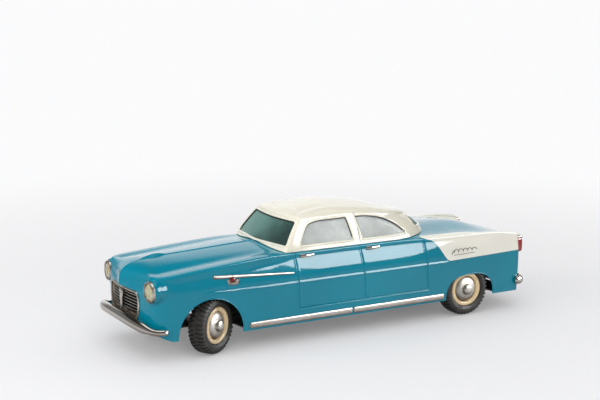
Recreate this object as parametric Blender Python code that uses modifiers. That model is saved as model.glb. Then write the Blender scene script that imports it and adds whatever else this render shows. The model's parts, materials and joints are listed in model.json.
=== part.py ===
"""Friction tin car: pressed body and roof, steered front axle, and a flywheel motor on the rear axle.

Numbers are millimetres with +Y to the rear, +X to the car's left and +Z up. Y = 0 is midway between
the axles; the empty car_origin then moves the whole car so that its footprint is centred.
"""

import math

import bmesh
import bpy
from mathutils import Matrix, Vector

MM = 0.001
CAR_SHIFT_Y = 2.65

# Wheels and axles
WHEEL_R = 19.0
REAR_AXLE_Y = 99.2
FRONT_PIN_Y = -103.1
RIM_PLANE = 12.0
KINGPIN_X = 27.8
REAR_RIM_X = 39.7
STEER_AT_REST = math.radians(29.1)
STEER_ARM = 8.0
WHEEL_STEPS = 24
SMALL_STEPS = 14

# Body
HALF_WIDTH = 41.2
NOSE_PLAN = ((0, -149.8), (10, -148.7), (20, -146.0), (28, -144.0), (33, -142.6))
CORNER_X = 33.0
CORNER_CURVE = ((33.0, -142.6), (37.6, -141.2), (41.2, -137.5), (41.2, -126.0))
NOSE_START = CORNER_CURVE[-1][1]
TAIL_Y = 147.5
TAIL_BOW = 3.2
TAIL_CORNER_R = 3.2
SILL_Z = 13.0
WAIST_Z = 41.0
TIN = 0.7

# Motor: module and teeth of the two equal reductions
GEAR_MODULE = 0.7
WHEEL_TEETH = 36
PINION_TEETH = 12
GEAR_RISE = math.radians(15.0)
MOTOR_PLATE_X = 8.6


# ---------------------------------------------------------------- curves and surfaces
def clamp(value, low=0.0, high=1.0):
    return max(low, min(high, value))


def lerp(a, b, t):
    return a + (b - a) * t


def ease(t):
    t = clamp(t)
    return t * t * (3 - 2 * t)


def along(knots, place):
    """Smooth curve through (place, value) knots, constant beyond the ends."""
    if place <= knots[0][0]:
        return knots[0][1]
    if place >= knots[-1][0]:
        return knots[-1][1]
    last = len(knots) - 1
    i = max(k for k in range(last) if knots[k][0] <= place)

    def slope(k):
        low, high = max(k - 1, 0), min(k + 1, last)
        return (knots[high][1] - knots[low][1]) / (knots[high][0] - knots[low][0])

    (x0, y0), (x1, y1) = knots[i], knots[i + 1]
    step = x1 - x0
    t = (place - x0) / step
    rise = y1 - y0
    first, second = slope(i) * step, slope(i + 1) * step
    return y0 + t * (first + t * (3 * rise - 2 * first - second + t * (first + second - 2 * rise)))


CENTRE_TOP = ((-151, 57.0), (-133, 59.6), (-101, 61.2), (-62, 63.0), (-48, 63.2), (0, 63.0),
              (88, 62.4), (106, 62.0), (118, 60.5), (129, 57.6), (139, 54.6), (148, 51.6))
INNER_TOP = ((-151, 55.0), (-133, 58.0), (-101, 58.9), (-62, 60.3), (-40, 60.8), (50, 60.6),
             (90, 60.0), (106, 58.8), (118, 57.0), (129, 54.6), (139, 52.0), (148, 49.8))
EDGE_TOP = ((-151, 54.0), (-140, 55.6), (-126, 57.0), (-107, 57.8), (-75, 58.9), (-42, 60.0),
            (50, 60.0), (66, 59.3), (112, 59.0), (122, 58.6), (131, 57.8), (140, 56.5), (148, 55.0))
SIDE_LEAN = ((-130, 1.0), (-90, 1.4), (-45, 2.6), (0, 3.2), (50, 3.0), (75, 1.8), (100, 1.4),
             (128, 1.4), (140, 0.9), (148, 0.9))
INNER_X = 33.0
EDGE_X = 37.0


def top_height(x, y):
    """Height of the bonnet and boot: crowned between the wings, then up or down to the wing edge."""
    x = abs(x)
    inner = along(INNER_TOP, y)
    centre = along(CENTRE_TOP, y)
    crown = lerp(centre, inner, clamp(x / INNER_X) ** 2)
    return lerp(crown, along(EDGE_TOP, y), ease((x - INNER_X) / (EDGE_X - INNER_X)))


def nose_y(x):
    return along(NOSE_PLAN, x)


def corner_point(t):
    """Point of the front corner's curve in plan."""
    weights = ((1 - t) ** 3, 3 * t * (1 - t) ** 2, 3 * t**2 * (1 - t), t**3)
    return tuple(sum(w * p[axis] for w, p in zip(weights, CORNER_CURVE)) for axis in (0, 1))


def tail_y(x):
    return TAIL_Y - TAIL_BOW * (x / HALF_WIDTH) ** 2


def body_outline(columns, stations, corner_steps):
    """Left half of the plan, from the nose centre to the tail centre: three runs that share corners."""
    front = [(CORNER_X * f, nose_y(CORNER_X * f)) for f in columns]
    side = [corner_point(t / corner_steps / 3) for t in range(1, 3 * corner_steps)]
    side += [(HALF_WIDTH, y) for y in stations]
    centre = (HALF_WIDTH - TAIL_CORNER_R, tail_y(HALF_WIDTH) - TAIL_CORNER_R)
    arc = []
    for step in range(corner_steps + 1):
        turn = math.pi / 4 * step / corner_steps
        arc.append((centre[0] + TAIL_CORNER_R * math.cos(turn), centre[1] + TAIL_CORNER_R * math.sin(turn)))
    side = [front[-1]] + side + arc
    rear = []
    for f in columns[:-1]:
        rear.append((centre[0] * f, tail_y(centre[0] * f)))
    rear.append(arc[-1])
    return front, side, rear[::-1]


def outward(points):
    """Outward plan normals of a run that goes from nose to tail on the left."""
    normals = []
    for k, point in enumerate(points):
        before, after = points[max(k - 1, 0)], points[min(k + 1, len(points) - 1)]
        if point[0] == 0:
            normals.append((0.0, -1.0 if point[1] < 0 else 1.0))
            continue
        dx, dy = after[0] - before[0], after[1] - before[1]
        size = math.hypot(dx, dy)
        normals.append((dy / size, -dx / size))
    return normals


def edge_round(x, y):
    """Plan width and height of the rounding between wall and top."""
    nose = clamp(1 - (x / 36.0) ** 2) if y < NOSE_START else 0.0
    wing = lerp(3.4, 2.2, ease((y + 100) / 60))
    wing = lerp(wing, 1.4, ease((y - 125) / 15))
    return lerp(wing, 20.0, nose), lerp(wing, 15.0, nose)


def sill_z(y):
    """Lower edge of the body, swept up behind the front bumper."""
    return lerp(SILL_Z, 18.5, ease((-128 - y) / 16))


def wall_inset(y, z, wall_top):
    if z < WAIST_Z:
        return 1.0 * ((WAIST_Z - z) / (WAIST_Z - SILL_Z)) ** 2
    return along(SIDE_LEAN, y) * ease((z - WAIST_Z) / max(wall_top - WAIST_Z, 1.0))


def wall_column(point, normal, heights, round_steps):
    """One column of the shell, from the sill up the wall and over the rounding."""
    wide, high = edge_round(*point)
    lean = along(SIDE_LEAN, point[1])
    inner = (point[0] - normal[0] * (lean + wide), point[1] - normal[1] * (lean + wide))
    crest = top_height(*inner)
    wall_top = crest - high
    column = []
    for part in heights:
        z = lerp(sill_z(point[1]), wall_top, part)
        inset = wall_inset(point[1], z, wall_top)
        column.append((point[0] - normal[0] * inset, point[1] - normal[1] * inset, z))
    for step in range(1, round_steps + 1):
        turn = math.pi / 2 * step / round_steps
        inset = lean + wide * (1 - math.cos(turn))
        x, y = point[0] - normal[0] * inset, point[1] - normal[1] * inset
        column.append((x, y, wall_top + high * math.sin(turn)))
    column[-1] = (inner[0], inner[1], crest)
    return column


def coons(front, side, rear, columns, height):
    """Top patch between three runs and the spine, with its height from a function of the plan."""
    rows = []
    last = side[-1]
    for point in side:
        v = (point[1] - side[0][1]) / (last[1] - side[0][1])
        spine = lerp(front[0][1], rear[0][1], v)
        row = []
        for i, u in enumerate(columns):
            x = u * point[0] + lerp(front[i][0], rear[i][0], v) - u * lerp(side[0][0], last[0], v)
            y = lerp(spine, point[1], u) + lerp(front[i][1], rear[i][1], v)
            y -= lerp(lerp(front[0][1], rear[0][1], v), lerp(side[0][1], last[1], v), u)
            row.append((x, y, height(x, y)))
        rows.append(row)
    return rows


def shell_patches(columns, stations, heights, corner_steps=1, round_steps=2):
    """Wall grid and top grid of the left half of the body."""
    front, side, rear = body_outline(columns, stations, corner_steps)
    run = front[:-1] + side + rear[1:]
    normals = outward(run)
    walls = [wall_column(p, n, heights, round_steps) for p, n in zip(run, normals)]
    edge = [column[-1] for column in walls]
    n = len(columns)
    top_front = edge[:n]
    top_side = edge[n - 1:len(edge) - n + 1]
    top_rear = edge[len(edge) - n:][::-1]
    return walls, coons(top_front, top_side, top_rear, columns, top_height)


# Roof: plan of its foot and of its upper edge, as (half width, front y, rear y)
ROOF_EDGE_Z = 80.0
ROOF_REAR_EDGE_Z = 73.2
ROOF_CREST = ((-40, 81.6), (-28, 84.8), (-12, 87.0), (0, 87.3), (22, 85.8), (41, 82.3), (54, 78.6), (66, 73.6))
ROOF_CROWN = 4.6
ROOF_ROUND = 7.0


def roof_height(x, y):
    return along(ROOF_CREST, y) - ROOF_CROWN * (x / 30.0) ** 2


def roof_ring(share, part):
    """Plan point of the roof wall: share runs from screen centre to rear centre, part from foot to edge."""
    half = lerp(36.4, 29.6, part)
    front = lerp(-51.5, -36.5, part)
    bow = lerp(5.0, 3.2, part)
    rear = lerp(78.8, 66.0, part)
    bend = lerp(38.0, 20.0, part)
    if share < 0.25:
        x = (half - 2.2) * share / 0.25
        return x, front + bow * (x / half) ** 2
    if share < 0.32:
        turn = math.pi / 2 * (share - 0.25) / 0.07
        start = front + bow * ((half - 2.2) / half) ** 2
        return half - 2.2 + 2.2 * math.sin(turn), start + 2.2 * (1 - math.cos(turn))
    if share < 0.65:
        start = front + bow * ((half - 2.2) / half) ** 2 + 2.2
        return half, lerp(start, bend, (share - 0.32) / 0.33)
    turn = math.pi / 2 * (share - 0.65) / 0.35
    power = 2 / 2.1
    return half * max(math.cos(turn), 0.0) ** power, bend + (rear - bend) * math.sin(turn) ** power


def roof_point(share, part):
    """Point on the roof wall, a little swollen between its foot and its upper edge."""
    x, y = roof_ring(share, part)
    swell = lerp(0.9, 2.2, ease((share - 0.6) / 0.4)) * math.sin(math.pi * part)
    away_x, away_y = x / 37.0, (y - 10.0) / 69.0
    size = math.hypot(away_x, away_y) or 1.0
    foot_x, foot_y = roof_ring(share, 0.0)
    foot = top_height(foot_x, foot_y) + lerp(0.5, 0.9, clamp(1 - share / 0.3) + ease((share - 0.65) / 0.35))
    edge = lerp(ROOF_EDGE_Z, ROOF_REAR_EDGE_Z, ease((share - 0.5) / 0.5))
    return x + swell * away_x / size, y + swell * away_y / size, lerp(foot, edge, part)


# ---------------------------------------------------------------- mesh helpers
def link(obj, name, finish, parent):
    obj.name = name
    obj.data.name = name
    obj.data.materials.clear()
    obj.data.materials.append(finish)
    for owner in obj.users_collection:
        owner.objects.unlink(obj)
    CAR.objects.link(obj)
    obj.parent = parent
    return obj


def mesh_object(name, bm, finish, parent, smooth=False):
    mesh = bpy.data.meshes.new(name)
    for face in bm.faces:
        face.smooth = smooth
    bm.to_mesh(mesh)
    bm.free()
    return link(bpy.data.objects.new(name, mesh), name, finish, parent)


def add_grid(bm, rows):
    """Quads between rows of points, in millimetres."""
    made = [[bm.verts.new(Vector(p) * MM) for p in row] for row in rows]
    for low, high in zip(made, made[1:]):
        for i in range(len(low) - 1):
            bm.faces.new((low[i], low[i + 1], high[i + 1], high[i]))
    return made


def modifier(obj, kind, **settings):
    added = obj.modifiers.new(kind.title(), kind)
    for key, value in settings.items():
        setattr(added, key, value)
    return added


def solidify(obj, thickness, offset=-1.0, even=True):
    return modifier(obj, "SOLIDIFY", thickness=thickness * MM, offset=offset, use_even_offset=even)


def sheet(name, grids, thickness, finish, parent, inward, smooth=True):
    """Open surface from grids, faced outward, then given its thickness inward or outward."""
    bm = bmesh.new()
    for rows in grids:
        add_grid(bm, rows)
    bmesh.ops.remove_doubles(bm, verts=bm.verts, dist=0.02 * MM)
    bmesh.ops.recalc_face_normals(bm, faces=bm.faces)
    centre = sum((v.co for v in bm.verts), Vector()) / len(bm.verts)
    away = sum((f.normal.dot(f.calc_center_median() - Vector((0, centre.y, 30 * MM))) for f in bm.faces))
    if away < 0:
        bmesh.ops.reverse_faces(bm, faces=bm.faces)
    obj = mesh_object(name, bm, finish, parent, smooth)
    solidify(obj, thickness, -1.0 if inward else 1.0)
    return obj


def push(rows, distance):
    """Grid moved along its own normals, away from the car's middle for a positive distance."""
    moved = []
    for j, row in enumerate(rows):
        line = []
        for i, point in enumerate(row):
            a = Vector(rows[min(j + 1, len(rows) - 1)][i]) - Vector(rows[max(j - 1, 0)][i])
            b = Vector(row[min(i + 1, len(row) - 1)]) - Vector(row[max(i - 1, 0)])
            normal = a.cross(b).normalized()
            if normal.dot(Vector(point) - Vector((0, point[1] * 0.5, 30))) < 0:
                normal = -normal
            line.append(tuple(Vector(point) + normal * distance))
        moved.append(line)
    return moved


def prism(name, points, low, high, axis, finish=None, parent=None):
    """Flat outline extruded along an axis from low to high; the outline holds the other two coordinates."""
    bm = bmesh.new()

    def place(point, level):
        values = list(point)
        values.insert("XYZ".index(axis), level)
        return Vector(values) * MM

    face = bm.faces.new([bm.verts.new(place(p, low)) for p in points])
    grown = bmesh.ops.extrude_face_region(bm, geom=[face])
    step = [0, 0, 0]
    step["XYZ".index(axis)] = (high - low) * MM
    moved = [item for item in grown["geom"] if isinstance(item, bmesh.types.BMVert)]
    bmesh.ops.translate(bm, verts=moved, vec=step)
    bmesh.ops.recalc_face_normals(bm, faces=bm.faces)
    return mesh_object(name, bm, finish or CUTTER_FINISH, parent or ORIGIN)


def box(name, low, high, finish=None, parent=None):
    bm = bmesh.new()
    size = Vector(high) - Vector(low)
    middle = (Vector(high) + Vector(low)) / 2
    scale = Matrix.Diagonal((*(size * MM), 1))
    bmesh.ops.create_cube(bm, size=1.0, matrix=Matrix.Translation(middle * MM) @ scale)
    return mesh_object(name, bm, finish or CUTTER_FINISH, parent or ORIGIN)


AXIS_TURN = {
    "X": Matrix.Rotation(math.pi / 2, 4, "Y"),
    "Y": Matrix.Rotation(-math.pi / 2, 4, "X"),
    "Z": Matrix.Identity(4),
}


def rod(name, start, length, radius, axis, finish=None, parent=None, steps=SMALL_STEPS):
    bm = bmesh.new()
    bmesh.ops.create_cone(bm, cap_ends=True, segments=steps, radius1=radius * MM, radius2=radius * MM,
                          depth=length * MM, matrix=Matrix.Translation((0, 0, length / 2 * MM)))
    bmesh.ops.transform(bm, matrix=Matrix.Translation(Vector(start) * MM) @ AXIS_TURN[axis], verts=bm.verts)
    return mesh_object(name, bm, finish or CUTTER_FINISH, parent or ORIGIN)


def helper(obj):
    """Keeps a cutter or a joined piece out of the model."""
    CAR.objects.unlink(obj)
    HELPERS.objects.link(obj)
    obj.hide_render = True
    obj.display_type = "WIRE"
    return obj


def combine(obj, other, operation):
    helper(other)
    modifier(obj, "BOOLEAN", object=other, operation=operation, solver="EXACT")
    return obj


def cut(obj, other):
    return combine(obj, other, "DIFFERENCE")


def join(obj, other):
    return combine(obj, other, "UNION")


def turned(name, profile, finish, parent, steps=WHEEL_STEPS):
    """Profile of (radius, distance outward) turned about the parent's X axis."""
    mesh = bpy.data.meshes.new(name)
    points = [(r * MM, 0.0, d * MM) for r, d in profile]
    count = len(points)
    closed = profile[0][0] > 0 or profile[-1][0] > 0
    after = profile[1:] + profile[:1]
    anticlockwise = sum(a[0] * b[1] - b[0] * a[1] for a, b in zip(profile, after)) > 0
    edges = [(i, i + 1) for i in range(count - 1)]
    if closed:
        edges.append((count - 1, 0))
    mesh.from_pydata(points, edges, [])
    obj = link(bpy.data.objects.new(name, mesh), name, finish, parent)
    modifier(obj, "SCREW", axis="Z", steps=steps, render_steps=steps, use_merge_vertices=True,
             merge_threshold=0.00001, use_smooth_shade=True, use_normal_flip=anticlockwise)
    obj.rotation_euler = (0, math.pi / 2, 0)
    return obj


def empty(name, location, parent=None, turn=0.0):
    obj = bpy.data.objects.new(name, None)
    CAR.objects.link(obj)
    obj.parent = parent
    obj.location = Vector(location) * MM
    obj.rotation_euler = (0, 0, turn)
    return obj


def material(name, colour, roughness, metallic=0.0, alpha=1.0):
    made = bpy.data.materials.new(name)
    made.use_nodes = True
    shader = made.node_tree.nodes["Principled BSDF"]
    shader.inputs["Base Color"].default_value = (*colour, 1.0)
    shader.inputs["Roughness"].default_value = roughness
    shader.inputs["Metallic"].default_value = metallic
    shader.inputs["Alpha"].default_value = alpha
    made.diffuse_color = (*colour, 1.0)
    return made


# ---------------------------------------------------------------- body pressings
COLUMNS = (0.0, 0.3, 0.56, 0.78, 0.92, 1.0)
STATIONS = (-126, -114, -100, -82, -62, -40, -10, 20, 50, 68, 84, 100, 115, 127, 137)
WALL_PARTS = (0.0, 0.35, 0.68, 0.86, 1.0)
FRONT_ARCH = (-102.8, 14.5, 23.0)
REAR_ARCH = (101.6, 12.0, 20.7, 18.0, 2.7)


def superellipse(centre_y, base_z, half, height, power, steps):
    points = []
    for step in range(steps + 1):
        turn = math.pi * step / steps
        c, s = math.cos(turn), math.sin(turn)
        y = centre_y + half * math.copysign(abs(c) ** (2 / power), c)
        points.append((y, base_z + height * abs(s) ** (2 / power)))
    return points


def arch_outlines():
    y, z, radius = FRONT_ARCH
    front = superellipse(y, z, radius, radius, 2.0, 14)
    rear = superellipse(*REAR_ARCH, 14)
    for outline in (front, rear):
        outline.append((outline[-1][0], 5.0))
        outline.insert(0, (outline[0][0], 5.0))
    return front, rear


def grille_outline(grow):
    """Grille opening with rounded lower corners, as (x, z), with points enough to follow the nose."""
    top, bottom = 42.5 + grow, 20.5 - grow
    right = [(x, top) for x in (0.0, 7.0, 14.0)]
    right += [(21.0 + grow, top), (21.5 + grow, 36.0), (20.5 + grow, 28.5)]
    for turn in (0.0, 30.0, 60.0):
        angle = math.radians(turn)
        right.append((14.5 + (5.0 + grow) * math.cos(angle), 25.5 - (5.0 + grow) * math.sin(angle)))
    right += [(x, bottom) for x in (14.5, 7.0, 0.0)]
    left = [(-x, z) for x, z in right[-2:0:-1]]
    return right + left


# The roof's front window pillar, side and rear runs, as shares of the way round its left half
PILLAR_SHARE = 0.25
SIDE_SHARES = (0.285, 0.32, 0.4, 0.49, 0.58, 0.65, 0.71, 0.77)
ROOF_REAR_X = 0.66
ROOF_PARTS = (0.0, 0.3, 0.65, 1.0)
FRONT_WINDOW = ((-34.4, 65.2), (-31.0, 72.5), (-26.5, 77.4), (-20.0, 79.0), (2.4, 79.2), (3.6, 78.2),
                (6.2, 65.2), (5.2, 64.2), (-33.6, 64.2))
REAR_WINDOW = ((10.4, 78.2), (11.4, 79.2), (20.0, 78.8), (32.0, 76.4), (42.0, 71.8), (49.8, 65.4),
               (48.8, 64.2), (14.6, 64.2), (13.6, 65.2))
SCREEN_HALF = ((20.0, 79.0), (27.0, 78.8), (28.6, 77.0), (32.8, 66.4), (31.8, 65.0), (20.0, 64.6))
BACKLIGHT_HALF = ((14.0, 77.0), (22.0, 76.4), (24.6, 74.6), (29.0, 67.6), (27.6, 65.8), (14.0, 65.2))


def roof_shares(columns):
    """Shares of the front, side and rear runs, so that the front and rear have the same columns."""
    front = [PILLAR_SHARE * f for f in columns]
    rear = []
    for f in columns:
        turn = math.acos((ROOF_REAR_X * f) ** 1.05)
        rear.append(0.65 + 0.35 * turn / (math.pi / 2))
    return front, list(SIDE_SHARES), rear[::-1]


def roof_pull(share):
    """Plan move from the roof's upper edge to the start of its top."""
    if share <= PILLAR_SHARE:
        across = share / PILLAR_SHARE
        return ROOF_ROUND * 0.7 * across, -ROOF_ROUND * lerp(1.0, 0.65, across**2)
    if share > 0.65:
        turn = math.pi / 2 * (share - 0.65) / 0.35
        return ROOF_ROUND * math.cos(turn), ROOF_ROUND * math.sin(turn)
    round_corner = clamp((share - PILLAR_SHARE) / 0.07)
    return ROOF_ROUND * lerp(0.7, 1.0, round_corner), -ROOF_ROUND * 0.65 * (1 - ease((share - 0.32) / 0.18))


def roof_column(share, parts, round_steps):
    column = [roof_point(share, part) for part in parts]
    edge_x, edge_y, edge_z = column[-1]
    pull_x, pull_y = roof_pull(share)
    crest = roof_height(edge_x - pull_x, edge_y - pull_y)
    for step in range(1, round_steps + 1):
        turn = math.pi / 2 * step / round_steps
        reach = 1 - math.cos(turn)
        column.append((edge_x - pull_x * reach, edge_y - pull_y * reach, lerp(edge_z, crest, math.sin(turn))))
    return column


def roof_grids(columns, parts, round_steps):
    front, side, rear = roof_shares(columns)
    shares = front + side + rear
    walls = [roof_column(share, parts, round_steps) for share in shares]
    edge = [column[-1] for column in walls]
    n = len(columns)
    last = len(edge) - n
    return walls, coons(edge[:n], edge[n - 1:last + 1], edge[last:][::-1], columns, roof_height)


def half_shell(name, grids, finish):
    """Left half of a pressing from its grids, mirrored and given the thickness of the tin."""
    bm = bmesh.new()
    for rows in grids:
        add_grid(bm, rows)
    bmesh.ops.remove_doubles(bm, verts=bm.verts, dist=0.01 * MM)
    bmesh.ops.recalc_face_normals(bm, faces=bm.faces)
    highest = max(bm.faces, key=lambda face: face.calc_center_median().z)
    if highest.normal.z < 0:
        bmesh.ops.reverse_faces(bm, faces=bm.faces)
    shell = mesh_object(name, bm, finish, ORIGIN, smooth=True)
    modifier(shell, "MIRROR", use_axis=(True, False, False), use_clip=True, merge_threshold=0.00005)
    solidify(shell, TIN, even=False)
    return shell


def mirrored(points):
    return list(points) + [(-x, z) for x, z in reversed(points)]


def plan_loop(margin):
    """Closed plan loop of the roof's foot, pulled in by a margin."""
    shares = [0.0, 0.12, 0.25, 0.285, 0.32, 0.45, 0.58, 0.65, 0.72, 0.79, 0.86, 0.93, 1.0]
    middle = 15.0
    pulled = []
    for share in shares:
        x, y = roof_ring(share, 0.0)
        pulled.append((x * (1 - margin / 37.0), middle + (y - middle) * (1 - margin / 65.0)))
    return pulled + [(-x, y) for x, y in reversed(pulled[1:-1])]


def make_body():
    body = half_shell("body_shell", shell_patches(COLUMNS, STATIONS, WALL_PARTS), TEAL)
    for name, outline in zip(("front_arch", "rear_arch"), arch_outlines()):
        cut(body, prism("cut_" + name, outline, -60.0, 60.0, "X"))
    cut(body, prism("cut_grille", grille_outline(0.0), -170.0, -135.0, "Y"))
    cut(body, prism("cut_cabin", plan_loop(4.5), 50.0, 70.0, "Z"))


def make_roof():
    roof = half_shell("roof_shell", roof_grids(COLUMNS, ROOF_PARTS, 3), CREAM)
    cut(roof, prism("cut_front_windows", FRONT_WINDOW, -50.0, 50.0, "X"))
    cut(roof, prism("cut_rear_windows", REAR_WINDOW, -50.0, 50.0, "X"))
    cut(roof, prism("cut_screen", mirrored(SCREEN_HALF), -70.0, -25.0, "Y"))
    cut(roof, prism("cut_backlight", mirrored(BACKLIGHT_HALF), 50.0, 110.0, "Y"))


def glazing(shares, parts, both_sides=False):
    """Thin sheet just inside the roof pressing, over a run of shares."""
    rows = [[roof_point(share, part) for part in parts] for share in shares]
    rows = push(rows, -(TIN + 0.35))
    if both_sides:
        rows = [[(-x, y, z) for x, y, z in row] for row in reversed(rows[1:])] + rows
    return rows


def make_glass():
    parts = (0.12, 0.4, 0.7, 0.97)
    screen = glazing((0.0, 0.06, 0.12, 0.18, 0.24), parts, True)
    sheet("windscreen", [screen], 0.4, GLASS, ORIGIN, inward=True)
    back = glazing((1.0, 0.95, 0.9, 0.86, 0.82), (0.25, 0.5, 0.75, 0.95), True)
    sheet("rear_window", [back], 0.4, GLASS, ORIGIN, inward=True)
    side = glazing((0.34, 0.4, 0.46, 0.52, 0.58, 0.64, 0.7), parts)
    sheet("side_window_left", [side], 0.4, GLASS, ORIGIN, inward=True)
    other = [[(-x, y, z) for x, y, z in row] for row in side]
    sheet("side_window_right", [other], 0.4, GLASS, ORIGIN, inward=True)


# ---------------------------------------------------------------- floor and mount
PLATE_Z = 13.4
PLATE_THICK = 0.8


def make_base_plate():
    """Floor plate, waisted between the wheels, with a slot for the gears and flywheel."""
    half = [(0.0, -138.0), (22.0, -137.0), (31.0, -131.0), (31.0, -128.0), (14.0, -124.0), (14.0, -80.0),
            (38.4, -76.0), (38.4, 78.0), (24.0, 80.0), (24.0, 123.0), (38.4, 125.0), (38.4, 140.0),
            (0.0, 143.0)]
    outline = half + [(-x, y) for x, y in reversed(half[1:-1])]
    plate = prism("base_plate", outline, PLATE_Z, PLATE_Z + PLATE_THICK, "Z", RAW_TIN, ORIGIN)
    cut(plate, box("cut_motor", (-7.6, 50.0, 5.0), (7.6, 114.0, 20.0)))


# ---------------------------------------------------------------- nickel and lamps
def side_x(y, z):
    """Outer face of the body side at a height."""
    _, high = edge_round(HALF_WIDTH, y)
    wall_top = top_height(HALF_WIDTH - 4.0, y) - high
    inset = wall_inset(y, min(z, wall_top), wall_top)
    if z > wall_top:
        rise = clamp((z - wall_top) / high)
        inset += edge_round(HALF_WIDTH, y)[0] * (1 - math.sqrt(1 - rise * rise))
    return HALF_WIDTH - inset


def side_strip(name, span, middle, half_height, thick, finish, gap=0.12):
    """Strip that follows the body side, on both sides of the car."""
    steps = 8
    rows = []
    for k in range(steps + 1):
        share = k / steps
        y = lerp(span[0], span[1], share)
        half = half_height(share)
        z = middle(share)
        rows.append([(side_x(y, z + e * half) + gap, y, z + e * half) for e in (-1, 0, 1)])
    for side, sign in (("left", 1), ("right", -1)):
        turned_rows = [[(sign * x, y, z) for x, y, z in row] for row in rows]
        sheet(f"{name}_{side}", [turned_rows], thick, finish, ORIGIN, inward=False, smooth=False)


def rounded_end(share, full, end):
    """Half height that closes towards both ends."""
    near = min(share, 1 - share)
    return lerp(end, full, clamp(near / 0.08))


def make_side_trim():
    side_strip("wing_spear", (-101.5, -42.4), lambda s: lerp(51.4, 47.8, s),
               lambda s: lerp(rounded_end(s, 1.5, 0.7), 0.9, s * 0.6), 0.9, NICKEL)
    side_strip("sill_front_trim", (-75.5, 3.1), lambda s: 16.4, lambda s: 2.0, 0.7, NICKEL)
    side_strip("sill_rear_trim", (3.7, 79.0), lambda s: 16.4, lambda s: 2.0, 0.7, NICKEL)
    side_strip("indicator_plate", (-92.6, -82.4), lambda s: 47.4,
               lambda s: rounded_end(s, 1.3, 0.9), 0.6, NICKEL)


INDICATOR = (-87.8, 47.4, 1.1)


def make_indicator_buttons():
    y, z, radius = INDICATOR
    start = side_x(y, z) + 1.0
    rod("indicator_button_left", (start, y, z), 1.2, radius, "X", RED, ORIGIN, 12)
    rod("indicator_button_right", (-start - 1.2, y, z), 1.2, radius, "X", RED, ORIGIN, 12)


def make_handles():
    for name, y, z in (("front", -31.5, 57.6), ("rear", 20.5, 57.4)):
        for side, sign in (("left", 1), ("right", -1)):
            inner = side_x(y, z) + 0.3
            low, high = sorted((sign * inner, sign * (inner + 1.6)))
            handle = box(f"{name}_handle_{side}", (low, y - 5.5, z - 0.8), (high, y + 5.5, z + 0.8),
                         NICKEL, ORIGIN)
            modifier(handle, "BEVEL", width=0.0005, segments=1)


LAMP = (35.1, 45.9, 7.3)


def make_headlights():
    """Bezel ring standing on the wing front, with a domed lens inside it."""
    x, z, radius = LAMP
    face = -142.6
    for side, sign in (("left", 1), ("right", -1)):
        holder = empty("headlight_" + side, (sign * x, face, z), ORIGIN)
        holder.rotation_euler = (0, 0, -math.pi / 2)
        ring = ((radius, -5.4), (radius, 0.3), (radius - 0.5, 0.8), (radius - 1.2, 0.4), (radius - 1.2, -5.4))
        turned("headlight_bezel_" + side, ring, NICKEL, holder, 24)
        glass = radius - 1.4
        lens = ((0.0, 1.7), (glass * 0.55, 1.3), (glass * 0.85, 0.6), (glass, -0.2),
                (glass, -1.2), (0.0, -1.2))
        turned("headlight_lens_" + side, lens, LENS, holder, 24)
        BODY_HOLES.append((sign * x, z, radius + 0.3))


def make_tail_lamps():
    for side, sign in (("left", 1), ("right", -1)):
        low, high = sorted((sign * 37.8, sign * 40.6))
        back = tail_y(39.0) + 0.3
        lamp = box("tail_lamp_" + side, (low, back, 42.8), (high, back + 2.6, 53.2), RED, ORIGIN)
        modifier(lamp, "BEVEL", width=0.0008, segments=1)


GRILLE_DEPTH = 4.4
GRILLE_BACK_Y = -141.6


def make_grille():
    """Deep frame round the opening, with the bars, crest and backing plate recessed in it."""
    rings = []
    for grow, behind in ((-0.5, GRILLE_DEPTH), (-0.5, -0.5), (0.5, -0.7), (1.5, -0.3)):
        rings.append([(x, nose_y(min(abs(x), CORNER_X)) - 0.2 + behind, z) for x, z in grille_outline(grow)])
    bm = bmesh.new()
    add_grid(bm, [ring + ring[:1] for ring in rings])
    bmesh.ops.remove_doubles(bm, verts=bm.verts, dist=0.01 * MM)
    bmesh.ops.recalc_face_normals(bm, faces=bm.faces)
    rim = max(bm.faces, key=lambda face: -face.calc_center_median().y)
    if rim.normal.y > 0:
        bmesh.ops.reverse_faces(bm, faces=bm.faces)
    surround = mesh_object("grille_surround", bm, NICKEL, ORIGIN)
    solidify(surround, 0.4, 1.0, even=False)
    bars = prism("grille_bars", grille_outline(-1.3), GRILLE_BACK_Y, GRILLE_BACK_Y + 0.8, "Y", NICKEL, ORIGIN)
    for k, half in enumerate((15.6, 17.8, 18.4, 18.4, 18.4, 18.4)):
        low = (-half, -144.6, 23.8 + k * 2.8)
        join(bars, box(f"grille_bar_{k}", low, (half, GRILLE_BACK_Y + 0.4, low[2] + 1.1)))
    join(bars, box("grille_crest", (-2.2, -145.4, 22.8), (2.2, GRILLE_BACK_Y + 0.4, 40.2)))


def make_bumper(name, path, middle, half_height, bulge):
    """Bowed blade along a plan path; its middle and half height depend on the distance from the centre."""
    rows = []
    for k, (x, y) in enumerate(path):
        before, after = path[max(k - 1, 0)], path[min(k + 1, len(path) - 1)]
        dx, dy = after[0] - before[0], after[1] - before[1]
        size = math.hypot(dx, dy)
        row = []
        for e in (-1.0, -0.5, 0.0, 0.5, 1.0):
            swell = bulge * (1 - e * e)
            row.append((x + dy / size * swell, y - dx / size * swell, middle(x) + e * half_height(x)))
        rows.append(row)
    return sheet(name, [rows], 0.8, NICKEL, ORIGIN, inward=True)


def bumper_path(half, tip, depth, power_x, power_y, steps, sign):
    points = []
    for k in range(-steps, steps + 1):
        turn = math.pi / 2 * k / steps
        x = half * math.copysign(abs(math.sin(turn)) ** power_x, turn)
        points.append((x * sign, tip - sign * depth * max(math.cos(turn), 0.0) ** power_y))
    return points


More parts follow.
